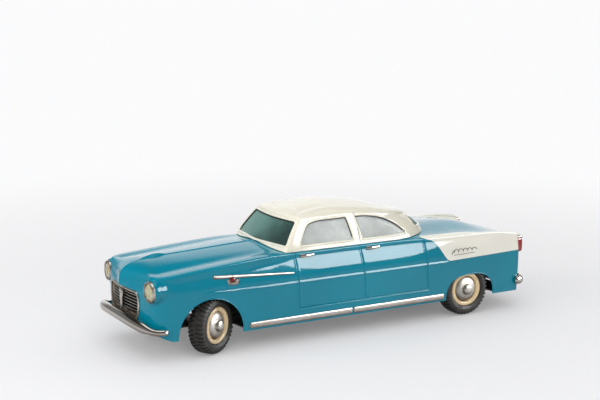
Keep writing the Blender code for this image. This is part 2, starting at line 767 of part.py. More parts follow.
def make_bumpers():
    front = bumper_path(43.2, -134.0, 20.2, 0.8, 0.75, 9, 1)
    make_bumper("front_bumper", front, lambda x: 26.0 - 5.2 * (abs(x) / 42.0) ** 2.5,
                lambda x: lerp(3.5, 2.2, ease((abs(x) - 38) / 5)), 1.4)
    rear = bumper_path(42.2, 140.5, 8.6, 0.35, 0.35, 8, -1)
    make_bumper("rear_bumper", rear, lambda x: 21.2, lambda x: lerp(3.4, 2.6, ease((abs(x) - 38) / 5)), 1.2)


# ---------------------------------------------------------------- wheels
TYRE = ((12.4, 1.0), (12.4, 11.9), (13.4, 12.4), (16.0, 12.3), (18.2, 11.0), (19.0, 9.2), (19.0, 3.4),
        (18.2, 1.6), (16.0, 0.5), (13.4, 0.5))
HUB_BORE = 1.65
DISC = ((HUB_BORE, 3.4), (2.8, 3.4), (2.8, 8.2), (9.6, 8.2), (10.9, 11.0), (11.2, 5.0), (12.1, 5.0),
        (12.1, 11.7), (10.6, 12.3), (9.2, 11.8), (8.8, 9.0), (HUB_BORE, 9.0))
CAP = ((0.0, 14.9), (2.4, 14.6), (3.4, 13.0), (6.3, 12.3), (8.2, 10.9), (8.5, 9.3), (7.7, 9.3), (6.6, 11.2),
       (3.0, 12.1), (0.0, 12.3))


def make_wheel(prefix, suffix, holder):
    """Tyre, disc and cap turned about the holder's X axis; 12 mm out is the plane of the painted ring."""
    turned(f"{prefix}_tyre_{suffix}", TYRE, RUBBER, holder)
    turned(f"{prefix}_wheel_disc_{suffix}", DISC, RING_CREAM, holder)
    turned(f"{prefix}_hub_cap_{suffix}", CAP, NICKEL, holder, SMALL_STEPS)


def make_rear_axle():
    axle = empty("rear_axle_line", (0, REAR_AXLE_Y, WHEEL_R), ORIGIN)
    reach = REAR_RIM_X - 1.6
    rod("rear_axle", (-reach, 0, 0), 2 * reach, 1.4, "X", STEEL, axle)
    left = empty("rear_wheel_left", (REAR_RIM_X - RIM_PLANE, 0, 0), axle)
    right = empty("rear_wheel_right", (RIM_PLANE - REAR_RIM_X, 0, 0), axle, math.pi)
    make_wheel("rear", "left", left)
    make_wheel("rear", "right", right)
    return axle


# ---------------------------------------------------------------- steering
def steer_vector(x, y):
    """Vector in the knuckle's frame turned to its rest angle."""
    c, s = math.cos(STEER_AT_REST), math.sin(STEER_AT_REST)
    return x * c - y * s, x * s + y * c


def make_knuckle(side, sign):
    pin = empty("kingpin_line_" + side, (sign * KINGPIN_X, FRONT_PIN_Y, 0), ORIGIN, STEER_AT_REST)
    knuckle = rod("knuckle_" + side, (0, 0, 15.4), 7.7, 2.4, "Z", STEEL, pin)
    join(knuckle, rod("stub_" + side, (0 if sign > 0 else -10.4, 0, WHEEL_R), 10.4, 1.3, "X", None, pin))
    head_x = 10.3 if sign > 0 else -11.1
    join(knuckle, rod("stub_head_" + side, (head_x, 0, WHEEL_R), 0.8, 2.2, "X", None, pin))
    join(knuckle, box("arm_" + side, (-1.5, 0, 20.6), (1.5, STEER_ARM + 1.5, 21.8), None, pin))
    join(knuckle, rod("arm_pin_" + side, (0, STEER_ARM, 21.0), 2.8, 0.7, "Z", None, pin, 12))
    cut(knuckle, rod("pin_bore_" + side, (0, 0, 10.0), 20.0, 1.25, "Z", None, pin))
    stub = empty("front_stub_" + side, (0, 0, WHEEL_R), pin, 0.0 if sign > 0 else math.pi)
    make_wheel("front", side, stub)
    rod("kingpin_" + side, (sign * KINGPIN_X, FRONT_PIN_Y, 14.5), 12.3, 0.9, "Z", STEEL, ORIGIN)


def make_front_beam():
    """C-ended beam that holds both kingpins above the floor plate."""
    beam = box("front_axle_beam", (-30.6, FRONT_PIN_Y - 3.0, 14.4), (30.6, FRONT_PIN_Y + 3.0, 24.6),
               STEEL, ORIGIN)
    for side, low, high in (("left", 22.0, 40.0), ("right", -40.0, -22.0)):
        cut(beam, box("yoke_" + side, (low, -120.0, 15.15), (high, -90.0, 23.4)))
        sign = 1 if side == "left" else -1
        cut(beam, rod("beam_bore_" + side, (sign * KINGPIN_X, FRONT_PIN_Y, 10.0), 20.0, 1.2, "Z"))
    cut(beam, box("beam_relief", (-19.5, -120.0, 17.0), (19.5, -90.0, 30.0)))


TIE_END_R = 1.6


def make_tie_rod():
    offset_x, offset_y = steer_vector(0, STEER_ARM)
    line = empty("tie_rod_line", (KINGPIN_X + offset_x, FRONT_PIN_Y + offset_y, 0), ORIGIN)
    span = 2 * KINGPIN_X
    turns = [math.radians(degrees) for degrees in (-90, -45, 0, 45, 90)]
    outline = [(TIE_END_R * math.cos(a), TIE_END_R * math.sin(a)) for a in turns]
    outline += [(-span - TIE_END_R * math.cos(a), TIE_END_R * math.sin(a)) for a in reversed(turns)]
    tie = prism("tie_rod", outline, 22.2, 23.2, "Z", STEEL, line)
    for name, x in (("near", 0.0), ("far", -span)):
        cut(tie, rod("tie_bore_" + name, (x, 0, 15.0), 15.0, 1.05, "Z", None, line))


# ---------------------------------------------------------------- friction motor
def gear_outline(teeth, phase):
    """Slim straight-sided teeth with backlash, in the YZ plane; a tooth stands at the phase angle."""
    pitch_r = GEAR_MODULE * teeth / 2
    root, tip = pitch_r - 1.2 * GEAR_MODULE, pitch_r + 0.8 * GEAR_MODULE
    points = []
    for k in range(teeth):
        centre = phase + 2 * math.pi * k / teeth
        for radius, half_width in ((root, 0.62), (tip, 0.22)):
            points.append((radius, centre - half_width * GEAR_MODULE / radius))
        for radius, half_width in ((tip, 0.22), (root, 0.62)):
            points.append((radius, centre + half_width * GEAR_MODULE / radius))
    return [(r * math.cos(a), r * math.sin(a)) for r, a in points]


def gear_places():
    """Shaft centres of the motor, from the rear axle forward, as (y, z)."""
    distance = GEAR_MODULE * (WHEEL_TEETH + PINION_TEETH) / 2
    dy, dz = -distance * math.cos(GEAR_RISE), distance * math.sin(GEAR_RISE)
    middle = (REAR_AXLE_Y + dy, WHEEL_R + dz)
    return middle, (middle[0] + dy, middle[1] + dz)


def make_motor(axle):
    middle, last = gear_places()
    forward = math.pi - GEAR_RISE
    back = -GEAR_RISE
    half_tooth = math.pi / PINION_TEETH
    drive = prism("drive_gear", gear_outline(WHEEL_TEETH, forward), -1.5, 1.5, "X", BRASS, axle)
    cut(drive, rod("drive_bore", (-5.0, 0, 0), 10.0, 1.45, "X", None, axle))

    line = empty("intermediate_line", (0, *middle), ORIGIN)
    cluster = prism("intermediate_gear", gear_outline(WHEEL_TEETH, forward), 3.0, 5.0, "X", BRASS, line)
    pinion = gear_outline(PINION_TEETH, back + half_tooth)
    join(cluster, prism("intermediate_pinion", pinion, -2.0, 3.1, "X", None, line))
    join(cluster, rod("intermediate_shaft", (-11.0, 0, 0), 22.0, 1.0, "X", None, line))

    line = empty("flywheel_line", (0, *last), ORIGIN)
    flywheel = rod("flywheel", (-7.4, 0, 0), 5.0, 13.4, "X", LEAD, line, WHEEL_STEPS)
    join(flywheel, prism("flywheel_pinion", pinion, 2.6, 5.4, "X", None, line))
    join(flywheel, rod("flywheel_shaft", (-11.0, 0, 0), 22.0, 1.0, "X", None, line))

    foot = PLATE_Z + PLATE_THICK + 0.1
    outline = ((54.0, foot), (109.0, foot), (109.0, 27.0), (99.0, 38.5), (88.0, 38.5), (70.0, 43.0),
               (54.0, 43.0))
    for side, low in (("left", MOTOR_PLATE_X), ("right", -MOTOR_PLATE_X - 0.8)):
        plate = prism("motor_plate_" + side, outline, low, low + 0.8, "X", STEEL, ORIGIN)
        holes = ((REAR_AXLE_Y, WHEEL_R, 1.75), (*middle, 1.3), (*last, 1.3))
        for k, (y, z, radius) in enumerate(holes):
            cut(plate, rod(f"bearing_{side}_{k}", (-12.0, y, z), 24.0, radius, "X"))
    for name, y, z in (("front", 56.5, 40.5), ("rear", 96.0, 36.0)):
        start = (-MOTOR_PLATE_X + 0.02, y, z)
        rod(f"motor_spacer_{name}", start, 2 * MOTOR_PLATE_X - 0.04, 1.2, "X", STEEL, ORIGIN, 12)


# ---------------------------------------------------------------- assembly
for old in list(bpy.data.objects):
    bpy.data.objects.remove(old, do_unlink=True)
CAR = bpy.data.collections.new("friction_tin_car")
HELPERS = bpy.data.collections.new("cutters")
bpy.context.scene.collection.children.link(CAR)
bpy.context.scene.collection.children.link(HELPERS)
HELPERS.hide_render = True

TEAL = material("teal_enamel", (0.02, 0.30, 0.42), 0.18)
CREAM = material("ivory_enamel", (0.82, 0.76, 0.58), 0.22)
RING_CREAM = material("ring_enamel", (0.80, 0.62, 0.38), 0.3)
NICKEL = material("nickel_plate", (0.72, 0.68, 0.60), 0.18, 1.0)
STEEL = material("bare_steel", (0.45, 0.45, 0.46), 0.35, 1.0)
RAW_TIN = material("tinplate", (0.55, 0.55, 0.54), 0.4, 1.0)
BRASS = material("gear_brass", (0.70, 0.55, 0.25), 0.35, 1.0)
LEAD = material("flywheel_lead", (0.25, 0.25, 0.27), 0.6, 1.0)
RUBBER = material("tyre_rubber", (0.03, 0.026, 0.022), 0.75)
RED = material("lamp_red", (0.35, 0.02, 0.02), 0.2)
LENS = material("headlight_lens", (0.85, 0.78, 0.55), 0.15)
GLASS = material("celluloid", (0.75, 0.85, 0.82), 0.08, 0.0, 0.3)
CUTTER_FINISH = material("cutter", (1.0, 0.0, 1.0), 0.5)

ORIGIN = empty("car_origin", (0, CAR_SHIFT_Y, 0))
BODY_HOLES = []
make_body()
make_roof()
make_glass()
make_base_plate()
make_side_trim()
make_indicator_buttons()
make_handles()
make_headlights()
make_tail_lamps()
make_grille()
make_bumpers()
for lamp_x, lamp_z, hole_r in BODY_HOLES:
    hole = rod("cut_headlight", (lamp_x, -150.0, lamp_z), 15.0, hole_r, "Y", steps=24)
    cut(bpy.data.objects["body_shell"], hole)
make_front_beam()
make_knuckle("left", 1)
make_knuckle("right", -1)
make_tie_rod()
make_motor(make_rear_axle())
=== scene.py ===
"""Looks of the friction tin car: pressed enamel body and roof, plated trim, celluloid, treaded tyres and a studio.

Numbers are millimetres in the part's own frame: Y = 0 is midway between the axles, -Y is the front, +X is
the car's left. SHIFT carries them to the row frame.
"""

import json
import math

import bmesh
import bpy
import numpy as np
from mathutils import Matrix, Vector
from mathutils.bvhtree import BVHTree


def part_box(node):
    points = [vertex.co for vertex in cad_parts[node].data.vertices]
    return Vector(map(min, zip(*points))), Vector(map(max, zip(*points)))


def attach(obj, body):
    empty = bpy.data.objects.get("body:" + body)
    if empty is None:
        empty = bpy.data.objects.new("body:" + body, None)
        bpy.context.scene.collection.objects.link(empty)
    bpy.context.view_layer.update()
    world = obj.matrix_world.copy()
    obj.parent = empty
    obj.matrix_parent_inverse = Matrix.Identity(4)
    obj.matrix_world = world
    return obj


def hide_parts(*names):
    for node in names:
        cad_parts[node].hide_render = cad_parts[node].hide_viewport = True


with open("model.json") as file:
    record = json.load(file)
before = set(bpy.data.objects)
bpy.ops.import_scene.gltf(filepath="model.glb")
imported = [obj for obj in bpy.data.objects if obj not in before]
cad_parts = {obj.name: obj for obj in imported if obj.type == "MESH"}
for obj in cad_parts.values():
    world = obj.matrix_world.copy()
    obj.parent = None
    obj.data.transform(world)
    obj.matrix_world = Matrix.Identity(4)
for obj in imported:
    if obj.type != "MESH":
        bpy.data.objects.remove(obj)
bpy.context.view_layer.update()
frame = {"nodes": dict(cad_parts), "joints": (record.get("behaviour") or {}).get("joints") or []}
JOINTS = {joint["name"]: joint for joint in frame["joints"]}
MM = 0.001
REAR_AXLE_Y = 99.2
FRONT_PIN_Y = -103.1
SHIFT = JOINTS["rear_axle_spin"]["pos_m"][1] / MM - REAR_AXLE_Y
WHEEL_R = 19.0
TIN = 0.7
HALF_WIDTH = 41.2


# ---------------------------------------------------------------- curves
def clamp(value, low=0.0, high=1.0):
    return max(low, min(high, value))


def lerp(a, b, t):
    return a + (b - a) * t


def ease(t):
    t = clamp(t)
    return t * t * (3 - 2 * t)


def bell(distance, width):
    return math.exp(-((distance / width) ** 2))


def along(knots, place):
    """Smooth curve through (place, value) knots, constant beyond the ends."""
    if place <= knots[0][0]:
        return knots[0][1]
    if place >= knots[-1][0]:
        return knots[-1][1]
    last = len(knots) - 1
    i = max(k for k in range(last) if knots[k][0] <= place)

    def slope(k):
        low, high = max(k - 1, 0), min(k + 1, last)
        return (knots[high][1] - knots[low][1]) / (knots[high][0] - knots[low][0])

    (x0, y0), (x1, y1) = knots[i], knots[i + 1]
    step = x1 - x0
    t = (place - x0) / step
    rise = y1 - y0
    first, second = slope(i) * step, slope(i + 1) * step
    return y0 + t * (first + t * (3 * rise - 2 * first - second + t * (first + second - 2 * rise)))


# ---------------------------------------------------------------- body surface
CENTRE_TOP = ((-151, 57.0), (-133, 59.6), (-101, 61.2), (-62, 63.0), (-48, 63.2), (0, 63.0),
              (88, 62.4), (106, 62.0), (118, 60.5), (129, 57.6), (139, 54.6), (148, 51.6))
INNER_TOP = ((-151, 53.6), (-140, 55.3), (-126, 56.7), (-107, 58.1), (-75, 60.2), (-60, 60.9), (-40, 60.9), (50, 60.6),
             (90, 60.0), (106, 58.8), (118, 57.0), (129, 54.6), (139, 52.0), (148, 49.8))
EDGE_TOP = ((-151, 53.4), (-140, 54.8), (-126, 56.0), (-107, 57.5), (-75, 59.7), (-58, 60.4), (-42, 60.2),
            (50, 60.0), (66, 59.3), (112, 59.0), (122, 58.6), (131, 57.8), (140, 56.5), (148, 55.0))
SIDE_LEAN = ((-130, 1.0), (-90, 1.6), (-45, 3.4), (0, 3.7), (50, 3.5), (75, 2.2), (100, 1.6),
             (128, 1.4), (140, 0.9), (148, 0.9))
LEAN_TOP = ((-120, 50.0), (-100, 51.0), (-80, 52.5), (-60, 54.6), (-40, 56.8), (60, 57.0), (90, 57.0))
NOSE_PLAN = ((-10, -146.8), (0, -147.2), (10, -146.8), (21, -145.4), (28, -144.2), (33, -142.7))
CORNER_CURVE = ((33.0, -142.7), (37.6, -141.2), (41.2, -137.5), (41.2, -126.0))
NOSE_START = -126.0
CORNER_X = 33.0
TAIL_Y, TAIL_BOW, TAIL_CORNER_R = 148.6, 2.6, 3.2
SILL_Z, LEAN_Z = 13.0, 43.5
DOOR_LINES = ((-39.1, 0.0444), (12.3, 0.072), (63.9, 0.08))
DOOR_BOTTOM = 23.4
CREASE_Z = 41.2
LAMP = (34.7, -142.1, 45.8)
LAMP_TOE = math.radians(4.0)
POD_CORE = (31.5, -129.0, 45.7)


def top_height(x, y):
    x = abs(x)
    crown = lerp(along(CENTRE_TOP, y), along(INNER_TOP, y), ease(x / 33.0))
    return lerp(crown, along(EDGE_TOP, y), clamp((x - 33.0) / 5.0))


def corner_point(t):
    weights = ((1 - t) ** 3, 3 * t * (1 - t) ** 2, 3 * t**2 * (1 - t), t**3)
    return tuple(sum(w * p[axis] for w, p in zip(weights, CORNER_CURVE)) for axis in (0, 1))


def tail_y(x):
    return TAIL_Y - TAIL_BOW * (x / HALF_WIDTH) ** 2


def body_outline(columns, stations):
    """Left half of the plan as three runs: nose, side and tail."""
    front = [(CORNER_X * f, along(NOSE_PLAN, CORNER_X * f)) for f in columns]
    side = [corner_point(t / 16) for t in range(1, 16)] + [(HALF_WIDTH, y) for y in stations]
    centre = (HALF_WIDTH - TAIL_CORNER_R, tail_y(HALF_WIDTH) - TAIL_CORNER_R)
    arc = []
    for step in range(6):
        turn = math.pi / 4 * step / 5
        arc.append((centre[0] + TAIL_CORNER_R * math.cos(turn), centre[1] + TAIL_CORNER_R * math.sin(turn)))
    rear = [(centre[0] * f, tail_y(centre[0] * f)) for f in columns[:-1]] + [arc[-1]]
    return front, [front[-1]] + side + arc, rear[::-1]


def outward(points):
    normals = []
    for k, point in enumerate(points):
        before, after = points[max(k - 1, 0)], points[min(k + 1, len(points) - 1)]
        if point[0] == 0:
            normals.append((0.0, -1.0 if point[1] < 0 else 1.0))
            continue
        dx, dy = after[0] - before[0], after[1] - before[1]
        size = math.hypot(dx, dy)
        normals.append((dy / size, -dx / size))
    return normals


def edge_round(x, y):
    nose = clamp(1 - (x / CORNER_X) ** 2) if y < NOSE_START else 0.0
    wing = lerp(1.9, 1.2, ease((y + 110) / 60))
    return lerp(wing, 20.0, nose), lerp(wing, 15.0, nose)


def sill_z(y):
    return lerp(SILL_Z, 18.5, ease((-128 - y) / 16))


def door_groove(y, z):
    """Stamped line round the doors: a narrow groove with a faint lip."""
    reach = 9.0
    for base, slope in DOOR_LINES:
        if z > DOOR_BOTTOM:
            reach = min(reach, abs(y - base - slope * (CREASE_Z - z)))
    low = [base + slope * (CREASE_Z - DOOR_BOTTOM) for base, slope in DOOR_LINES]
    if low[0] - 0.3 < y < low[2] + 0.3:
        reach = min(reach, abs(z - DOOR_BOTTOM))
    return -0.42 * bell(reach, 0.34) + 0.12 * bell(reach - 0.8, 0.35)


def crease(y, z):
    """Stamped bead along the side, from above the front arch to the fin panel."""
    fade = ease((y + 112) / 14) * ease((86 - y) / 8)
    middle = CREASE_Z + 0.5 * ease((-60 - y) / 50)
    return fade * (0.38 * bell(z - middle, 0.55) - 0.22 * bell(z - middle - 1.5, 0.8))


def wall_inset(y, z, wall_top):
    if z < LEAN_Z:
        return 1.0 * ((LEAN_Z - z) / (LEAN_Z - SILL_Z)) ** 2.2
    top = min(along(LEAN_TOP, y), wall_top)
    share = clamp((z - LEAN_Z) / max(top - LEAN_Z, 0.5))
    return along(SIDE_LEAN, y) * (0.28 * share + 0.72 * share**2)


LOW_LEVELS = (13, 13.5, 14.5, 16, 17.8, 19.6, 21.2, 22.2, 22.7, 23.0, 23.2, 23.4, 23.6, 23.8, 24.1, 24.6, 25.6,
              27.4, 29.6, 32, 34.4, 36.6, 38.4, 39.6, 40.2, 40.6, 40.9, 41.2, 41.5, 41.8, 42.2, 42.7, 43.5)


def wall_levels(y, wall_top):
    sill = sill_z(y)
    low = [sill + (z - SILL_Z) * (LEAN_Z - sill) / (LEAN_Z - SILL_Z) for z in LOW_LEVELS]
    top = min(along(LEAN_TOP, y), wall_top - 0.4)
    low += [lerp(LEAN_Z, top, k / 9) for k in range(1, 10)]
    return low + [lerp(top, wall_top, k / 4) for k in range(1, 5)]


def lamp_bucket(point):
    """Pushes the skin out to a tapering lamp housing, along rays from a point inside it."""
    x, y, z = point
    if y > LAMP[1] + 26 or math.hypot(x - LAMP[0], z - LAMP[2]) > 16:
        return point
    ray = (x - POD_CORE[0], y - POD_CORE[1], z - POD_CORE[2])

    def inside(t):
        dx, dy, dz = (c + t * d - l for c, d, l in zip(POD_CORE, ray, LAMP))
        behind = dy * math.cos(LAMP_TOE) - dx * math.sin(LAMP_TOE) - 0.5
        r = math.hypot(dx * math.cos(LAMP_TOE) + dy * math.sin(LAMP_TOE), dz)
        return behind > 0 and r < 7.6 - 3.2 * clamp(behind / 22) ** 1.3

    low, high = 0.0, 3.0
    for _ in range(16):
        middle = (low + high) / 2
        low, high = (middle, high) if inside(middle) else (low, middle)
    soft = 0.2
    if low < 1 - soft:
        return point
    t = low if low > 1 + soft else 1 + (low - 1 + soft) ** 2 / (4 * soft)
    return tuple(c + t * d for c, d in zip(POD_CORE, ray))


def prow(point):
    """Overhanging crest of the nose above the grille."""
    x, y, z = point
    if y > -118:
        return point
    lift = ease((z - 42.6) / 2.6) * ease((62 - z) / 9)
    swell = 2.7 * bell(x, 9.5) + 0.7 * bell(x, 1.6)
    return (x, y - lift * swell * ease((-118 - y) / 18), z)


def bonnet(x, y):
    """Height added to the top: centre rib, a low teardrop at its front and the valleys beside the wings."""
    x = abs(x)
    rib = 0.55 * bell(x, 0.9) * ease((y + 134) / 6) * ease((-49.5 - y) / 6)
    across, lengthwise = x / 3.0, (y + 127.5) / (11.0 if y > -127.5 else 5.5)
    drop = clamp(1 - across**2 - lengthwise**2)
    valley = lerp(1.3, 0.5, ease((y + 135) / 80)) * bell(x - 28.0, 6.0) * ease((-50 - y) / 16)
    return rib + 1.3 * ease(drop) ** 0.7 - valley * ease((y + 143) / 9)


def wall_column(point, normal):
    wide, high = edge_round(*point)
    lean = along(SIDE_LEAN, point[1])
    inner = (point[0] - normal[0] * (lean + wide), point[1] - normal[1] * (lean + wide))
    crest = top_height(*inner)
    wall_top = crest - high
    column = []

    def place(inset, z):
        y = point[1]
        x = point[0] - normal[0] * inset
        if point[0] == HALF_WIDTH and -75 < y < 84:
            for base, slope in DOOR_LINES:
                y += slope * (CREASE_Z - z) * clamp(1 - abs(point[1] - base) / 12)
            x += door_groove(y, z)
        if point[0] == HALF_WIDTH:
            x += crease(y, z)
        column.append(prow(lamp_bucket((x, y - normal[1] * inset, z))))

    for z in wall_levels(point[1], wall_top):
        place(wall_inset(point[1], z, wall_top), z)
    power = 2 / lerp(2.0, 2.7, clamp(wide / 20))
    for step in range(1, 10):
        turn = math.pi / 2 * step / 9
        place(lean + wide * (1 - math.cos(turn) ** power), wall_top + high * math.sin(turn) ** power)
    raised = [(x, y, z + bonnet(x, y) * ease((z - wall_top) / high)) for x, y, z in column[-9:]]
    x, y, z = raised[-1]
    return column[:-9] + raised[:-1] + [(x, y, crest + bonnet(x, y))]


def coons(front, side, rear, columns, height):
    rows = []
    last = side[-1]
    for point in side:
        v = (point[1] - side[0][1]) / (last[1] - side[0][1])
        spine = lerp(front[0][1], rear[0][1], v)
        row = []
        for i, u in enumerate(columns):
            x = u * point[0] + lerp(front[i][0], rear[i][0], v) - u * lerp(side[0][0], last[0], v)
            y = lerp(spine, point[1], u) + lerp(front[i][1], rear[i][1], v)
            y -= lerp(lerp(front[0][1], rear[0][1], v), lerp(side[0][1], last[1], v), u)
            row.append((x, y, height(x, y)))
        rows.append(row)
    return rows


BODY_COLUMNS = [f / 37.0 for f in (0, 0.35, 0.7, 1.05, 1.4, 1.8, 2.3, 2.8, 3.4, 4.2, 5.4, 7, 9, 11, 13, 15, 17, 19,
                                   21, 23, 25, 27, 29, 30.6, 32, 33, 33.8, 34.6, 35.3, 36, 36.5, 37)]


def stations():
    found = set(np.round(np.arange(-125.9, 140.2, 2.0), 3))
    for base, slope in DOOR_LINES:
        found = {y for y in found if abs(y - base) > 2.4}
        found |= {base + d for d in (-2.2, -1.6, -1.1, -0.75, -0.5, -0.25, 0, 0.25, 0.5, 0.75, 1.1, 1.6, 2.2)}
    return [NOSE_START] + sorted(y for y in found if y > NOSE_START + 1)


def body_patches():
    front, side, rear = body_outline(BODY_COLUMNS, stations())
    run = front[:-1] + side + rear[1:]
    walls = [wall_column(p, n) for p, n in zip(run, outward(run))]
    edge = [column[-1] for column in walls]
    n = len(BODY_COLUMNS)

    def height(x, y):
        return top_height(x, y) + bonnet(x, y)

    top = coons(edge[:n], edge[n - 1:len(edge) - n + 1], edge[len(edge) - n:][::-1], BODY_COLUMNS, height)
    for row, point in zip(top, edge[n - 1:len(edge) - n + 1]):
        row[-1] = point
    top[0] = edge[:n]
    top[-1] = edge[len(edge) - n:][::-1]
    return walls, top


# ---------------------------------------------------------------- roof surface
ROOF_CREST = ((-40, 81.6), (-28, 84.8), (-12, 87.0), (0, 87.3), (22, 85.4), (41, 81.2), (54, 77.0), (66, 72.6))
ROOF_ROUND = 12.0


def roof_height(x, y):
    return along(ROOF_CREST, y) - 4.6 * (x / 30.0) ** 2


def roof_ring(share, part):
    half, front, bow = lerp(36.4, 29.6, part), lerp(-51.5, -36.5, part), lerp(5.0, 3.2, part)
    rear, bend = lerp(78.8, 66.0, part), lerp(38.0, 20.0, part)
    start = front + bow * ((half - 2.2) / half) ** 2
    if share < 0.25:
        x = (half - 2.2) * share / 0.25
        return x, front + bow * (x / half) ** 2
    if share < 0.32:
        turn = math.pi / 2 * (share - 0.25) / 0.07
        return half - 2.2 + 2.2 * math.sin(turn), start + 2.2 * (1 - math.cos(turn))
    if share < 0.65:
        return half, lerp(start + 2.2, bend, (share - 0.32) / 0.33)
    turn = math.pi / 2 * (share - 0.65) / 0.35
    power = 2 / 2.1
    return half * max(math.cos(turn), 0.0) ** power, bend + (rear - bend) * math.sin(turn) ** power


def roof_point(share, part):
    x, y = roof_ring(share, part)
    swell = lerp(0.9, 2.2, ease((share - 0.6) / 0.4)) * math.sin(math.pi * part)
    away_x, away_y = x / 37.0, (y - 10.0) / 69.0
    size = math.hypot(away_x, away_y) or 1.0
    foot = top_height(*roof_ring(share, 0.0))
    foot += lerp(0.35, 0.9, clamp(1 - share / 0.3) + ease((share - 0.65) / 0.35))
    edge = lerp(80.0, 73.2, ease((share - 0.5) / 0.5))
    return x + swell * away_x / size, y + swell * away_y / size, lerp(foot, edge, part)


def roof_pull(share):
    if share <= 0.25:
        across = share / 0.25
        return ROOF_ROUND * 0.7 * across, -ROOF_ROUND * lerp(1.0, 0.65, across**2)
    if share > 0.65:
        turn = math.pi / 2 * (share - 0.65) / 0.35
        return ROOF_ROUND * math.cos(turn), ROOF_ROUND * math.sin(turn)
    bend = clamp((share - 0.25) / 0.07)
    return ROOF_ROUND * lerp(0.7, 1.0, bend), -ROOF_ROUND * 0.65 * (1 - ease((share - 0.32) / 0.18))


def roof_column(share):
    column = [roof_point(share, part / 30) for part in range(31)]
    edge_x, edge_y, edge_z = column[-1]
    pull_x, pull_y = roof_pull(share)
    crest = roof_height(edge_x - pull_x, edge_y - pull_y)
    for step in range(1, 13):
        turn = math.pi / 2 * step / 12
        reach = 1 - math.cos(turn)
        column.append((edge_x - pull_x * reach, edge_y - pull_y * reach, lerp(edge_z, crest, math.sin(turn))))
    return column


ROOF_COLUMNS = [k / 26 for k in range(27)]


def roof_patches():
    front = [0.25 * f for f in ROOF_COLUMNS]
    side = [0.25 + 0.07 * k / 8 for k in range(1, 9)] + [0.32 + 0.33 * k / 44 for k in range(1, 45)]
    rear = [0.65 + 0.35 * math.acos((0.66 * f) ** 1.05) / (math.pi / 2) for f in ROOF_COLUMNS][::-1]
    side += list(np.linspace(side[-1], rear[0], 12))[1:-1]
    walls = [roof_column(share) for share in front + side + rear]
    edge = [column[-1] for column in walls]
    n = len(ROOF_COLUMNS)
    top = coons(edge[:n], edge[n - 1:len(edge) - n + 1], edge[len(edge) - n:][::-1], ROOF_COLUMNS, roof_height)
    return walls, top


# ---------------------------------------------------------------- mesh helpers
def shown(obj, body, slot, *nodes):
    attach(obj, body)
    if nodes:
        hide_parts(*nodes)
    return obj


def to_mesh(name, points, faces, finishes, sharp=35, move=True):
    """Mesh object from points in millimetres; move adds the shift to the row frame."""
    mesh = bpy.data.meshes.new(name)
    offset = np.array((0.0, SHIFT if move else 0.0, 0.0))
    mesh.from_pydata((np.array(points, float) + offset) * MM, [], [tuple(f) for f in faces])
    mesh.validate()
    obj = bpy.data.objects.new(name, mesh)
    bpy.context.scene.collection.objects.link(obj)
    for finish in finishes:
        mesh.materials.append(finish)
    smooth(obj, sharp)
    return obj


def smooth(obj, sharp=35):
    obj.data.shade_smooth()
    obj.data.set_sharp_from_angle(angle=math.radians(sharp))


def grid(rows, closed=False):
    """Points and quads of a grid of rows."""
    n = len(rows[0])
    points = [p for row in rows for p in row]
    faces = []
    for j in range(len(rows) - 1 + closed):
        a, b = j * n, ((j + 1) % len(rows)) * n
        faces += [(a + i, a + i + 1, b + i + 1, b + i) for i in range(n - 1)]
    return points, faces


def bake(obj):
    """Applies the modifiers of an object."""
    graph = bpy.context.evaluated_depsgraph_get()
    mesh = bpy.data.meshes.new_from_object(obj.evaluated_get(graph))
    old = obj.data
    obj.modifiers.clear()
    obj.data = mesh
    bpy.data.meshes.remove(old)
    return obj


def modify(obj, kind, **settings):
    added = obj.modifiers.new(kind.title(), kind)
    for key, value in settings.items():
        setattr(added, key, value)
    return added


def prism(outline, low, high, axis):
    """Cutter: a flat outline extruded along an axis."""
    k = "XYZ".index(axis)
    rings = []
    for level in (low, high):
        rings.append([tuple(list(p[:k]) + [level] + list(p[k:])) for p in outline])
    n = len(outline)
    faces = [tuple(range(n)), tuple(range(2 * n - 1, n - 1, -1))]
    faces += [(i, (i + 1) % n, n + (i + 1) % n, n + i) for i in range(n)]
    cutter = to_mesh("cutter", rings[0] + rings[1], faces, [])
    bm = bmesh.new()
    bm.from_mesh(cutter.data)
    bmesh.ops.recalc_face_normals(bm, faces=bm.faces)
    bm.to_mesh(cutter.data)
    bm.free()
    return cutter


def cut(obj, cutters):
    for cutter in cutters:
        modify(obj, "BOOLEAN", object=cutter, operation="DIFFERENCE", solver="EXACT")
    bake(obj)
    for cutter in cutters:
        bpy.data.objects.remove(cutter)
    return obj


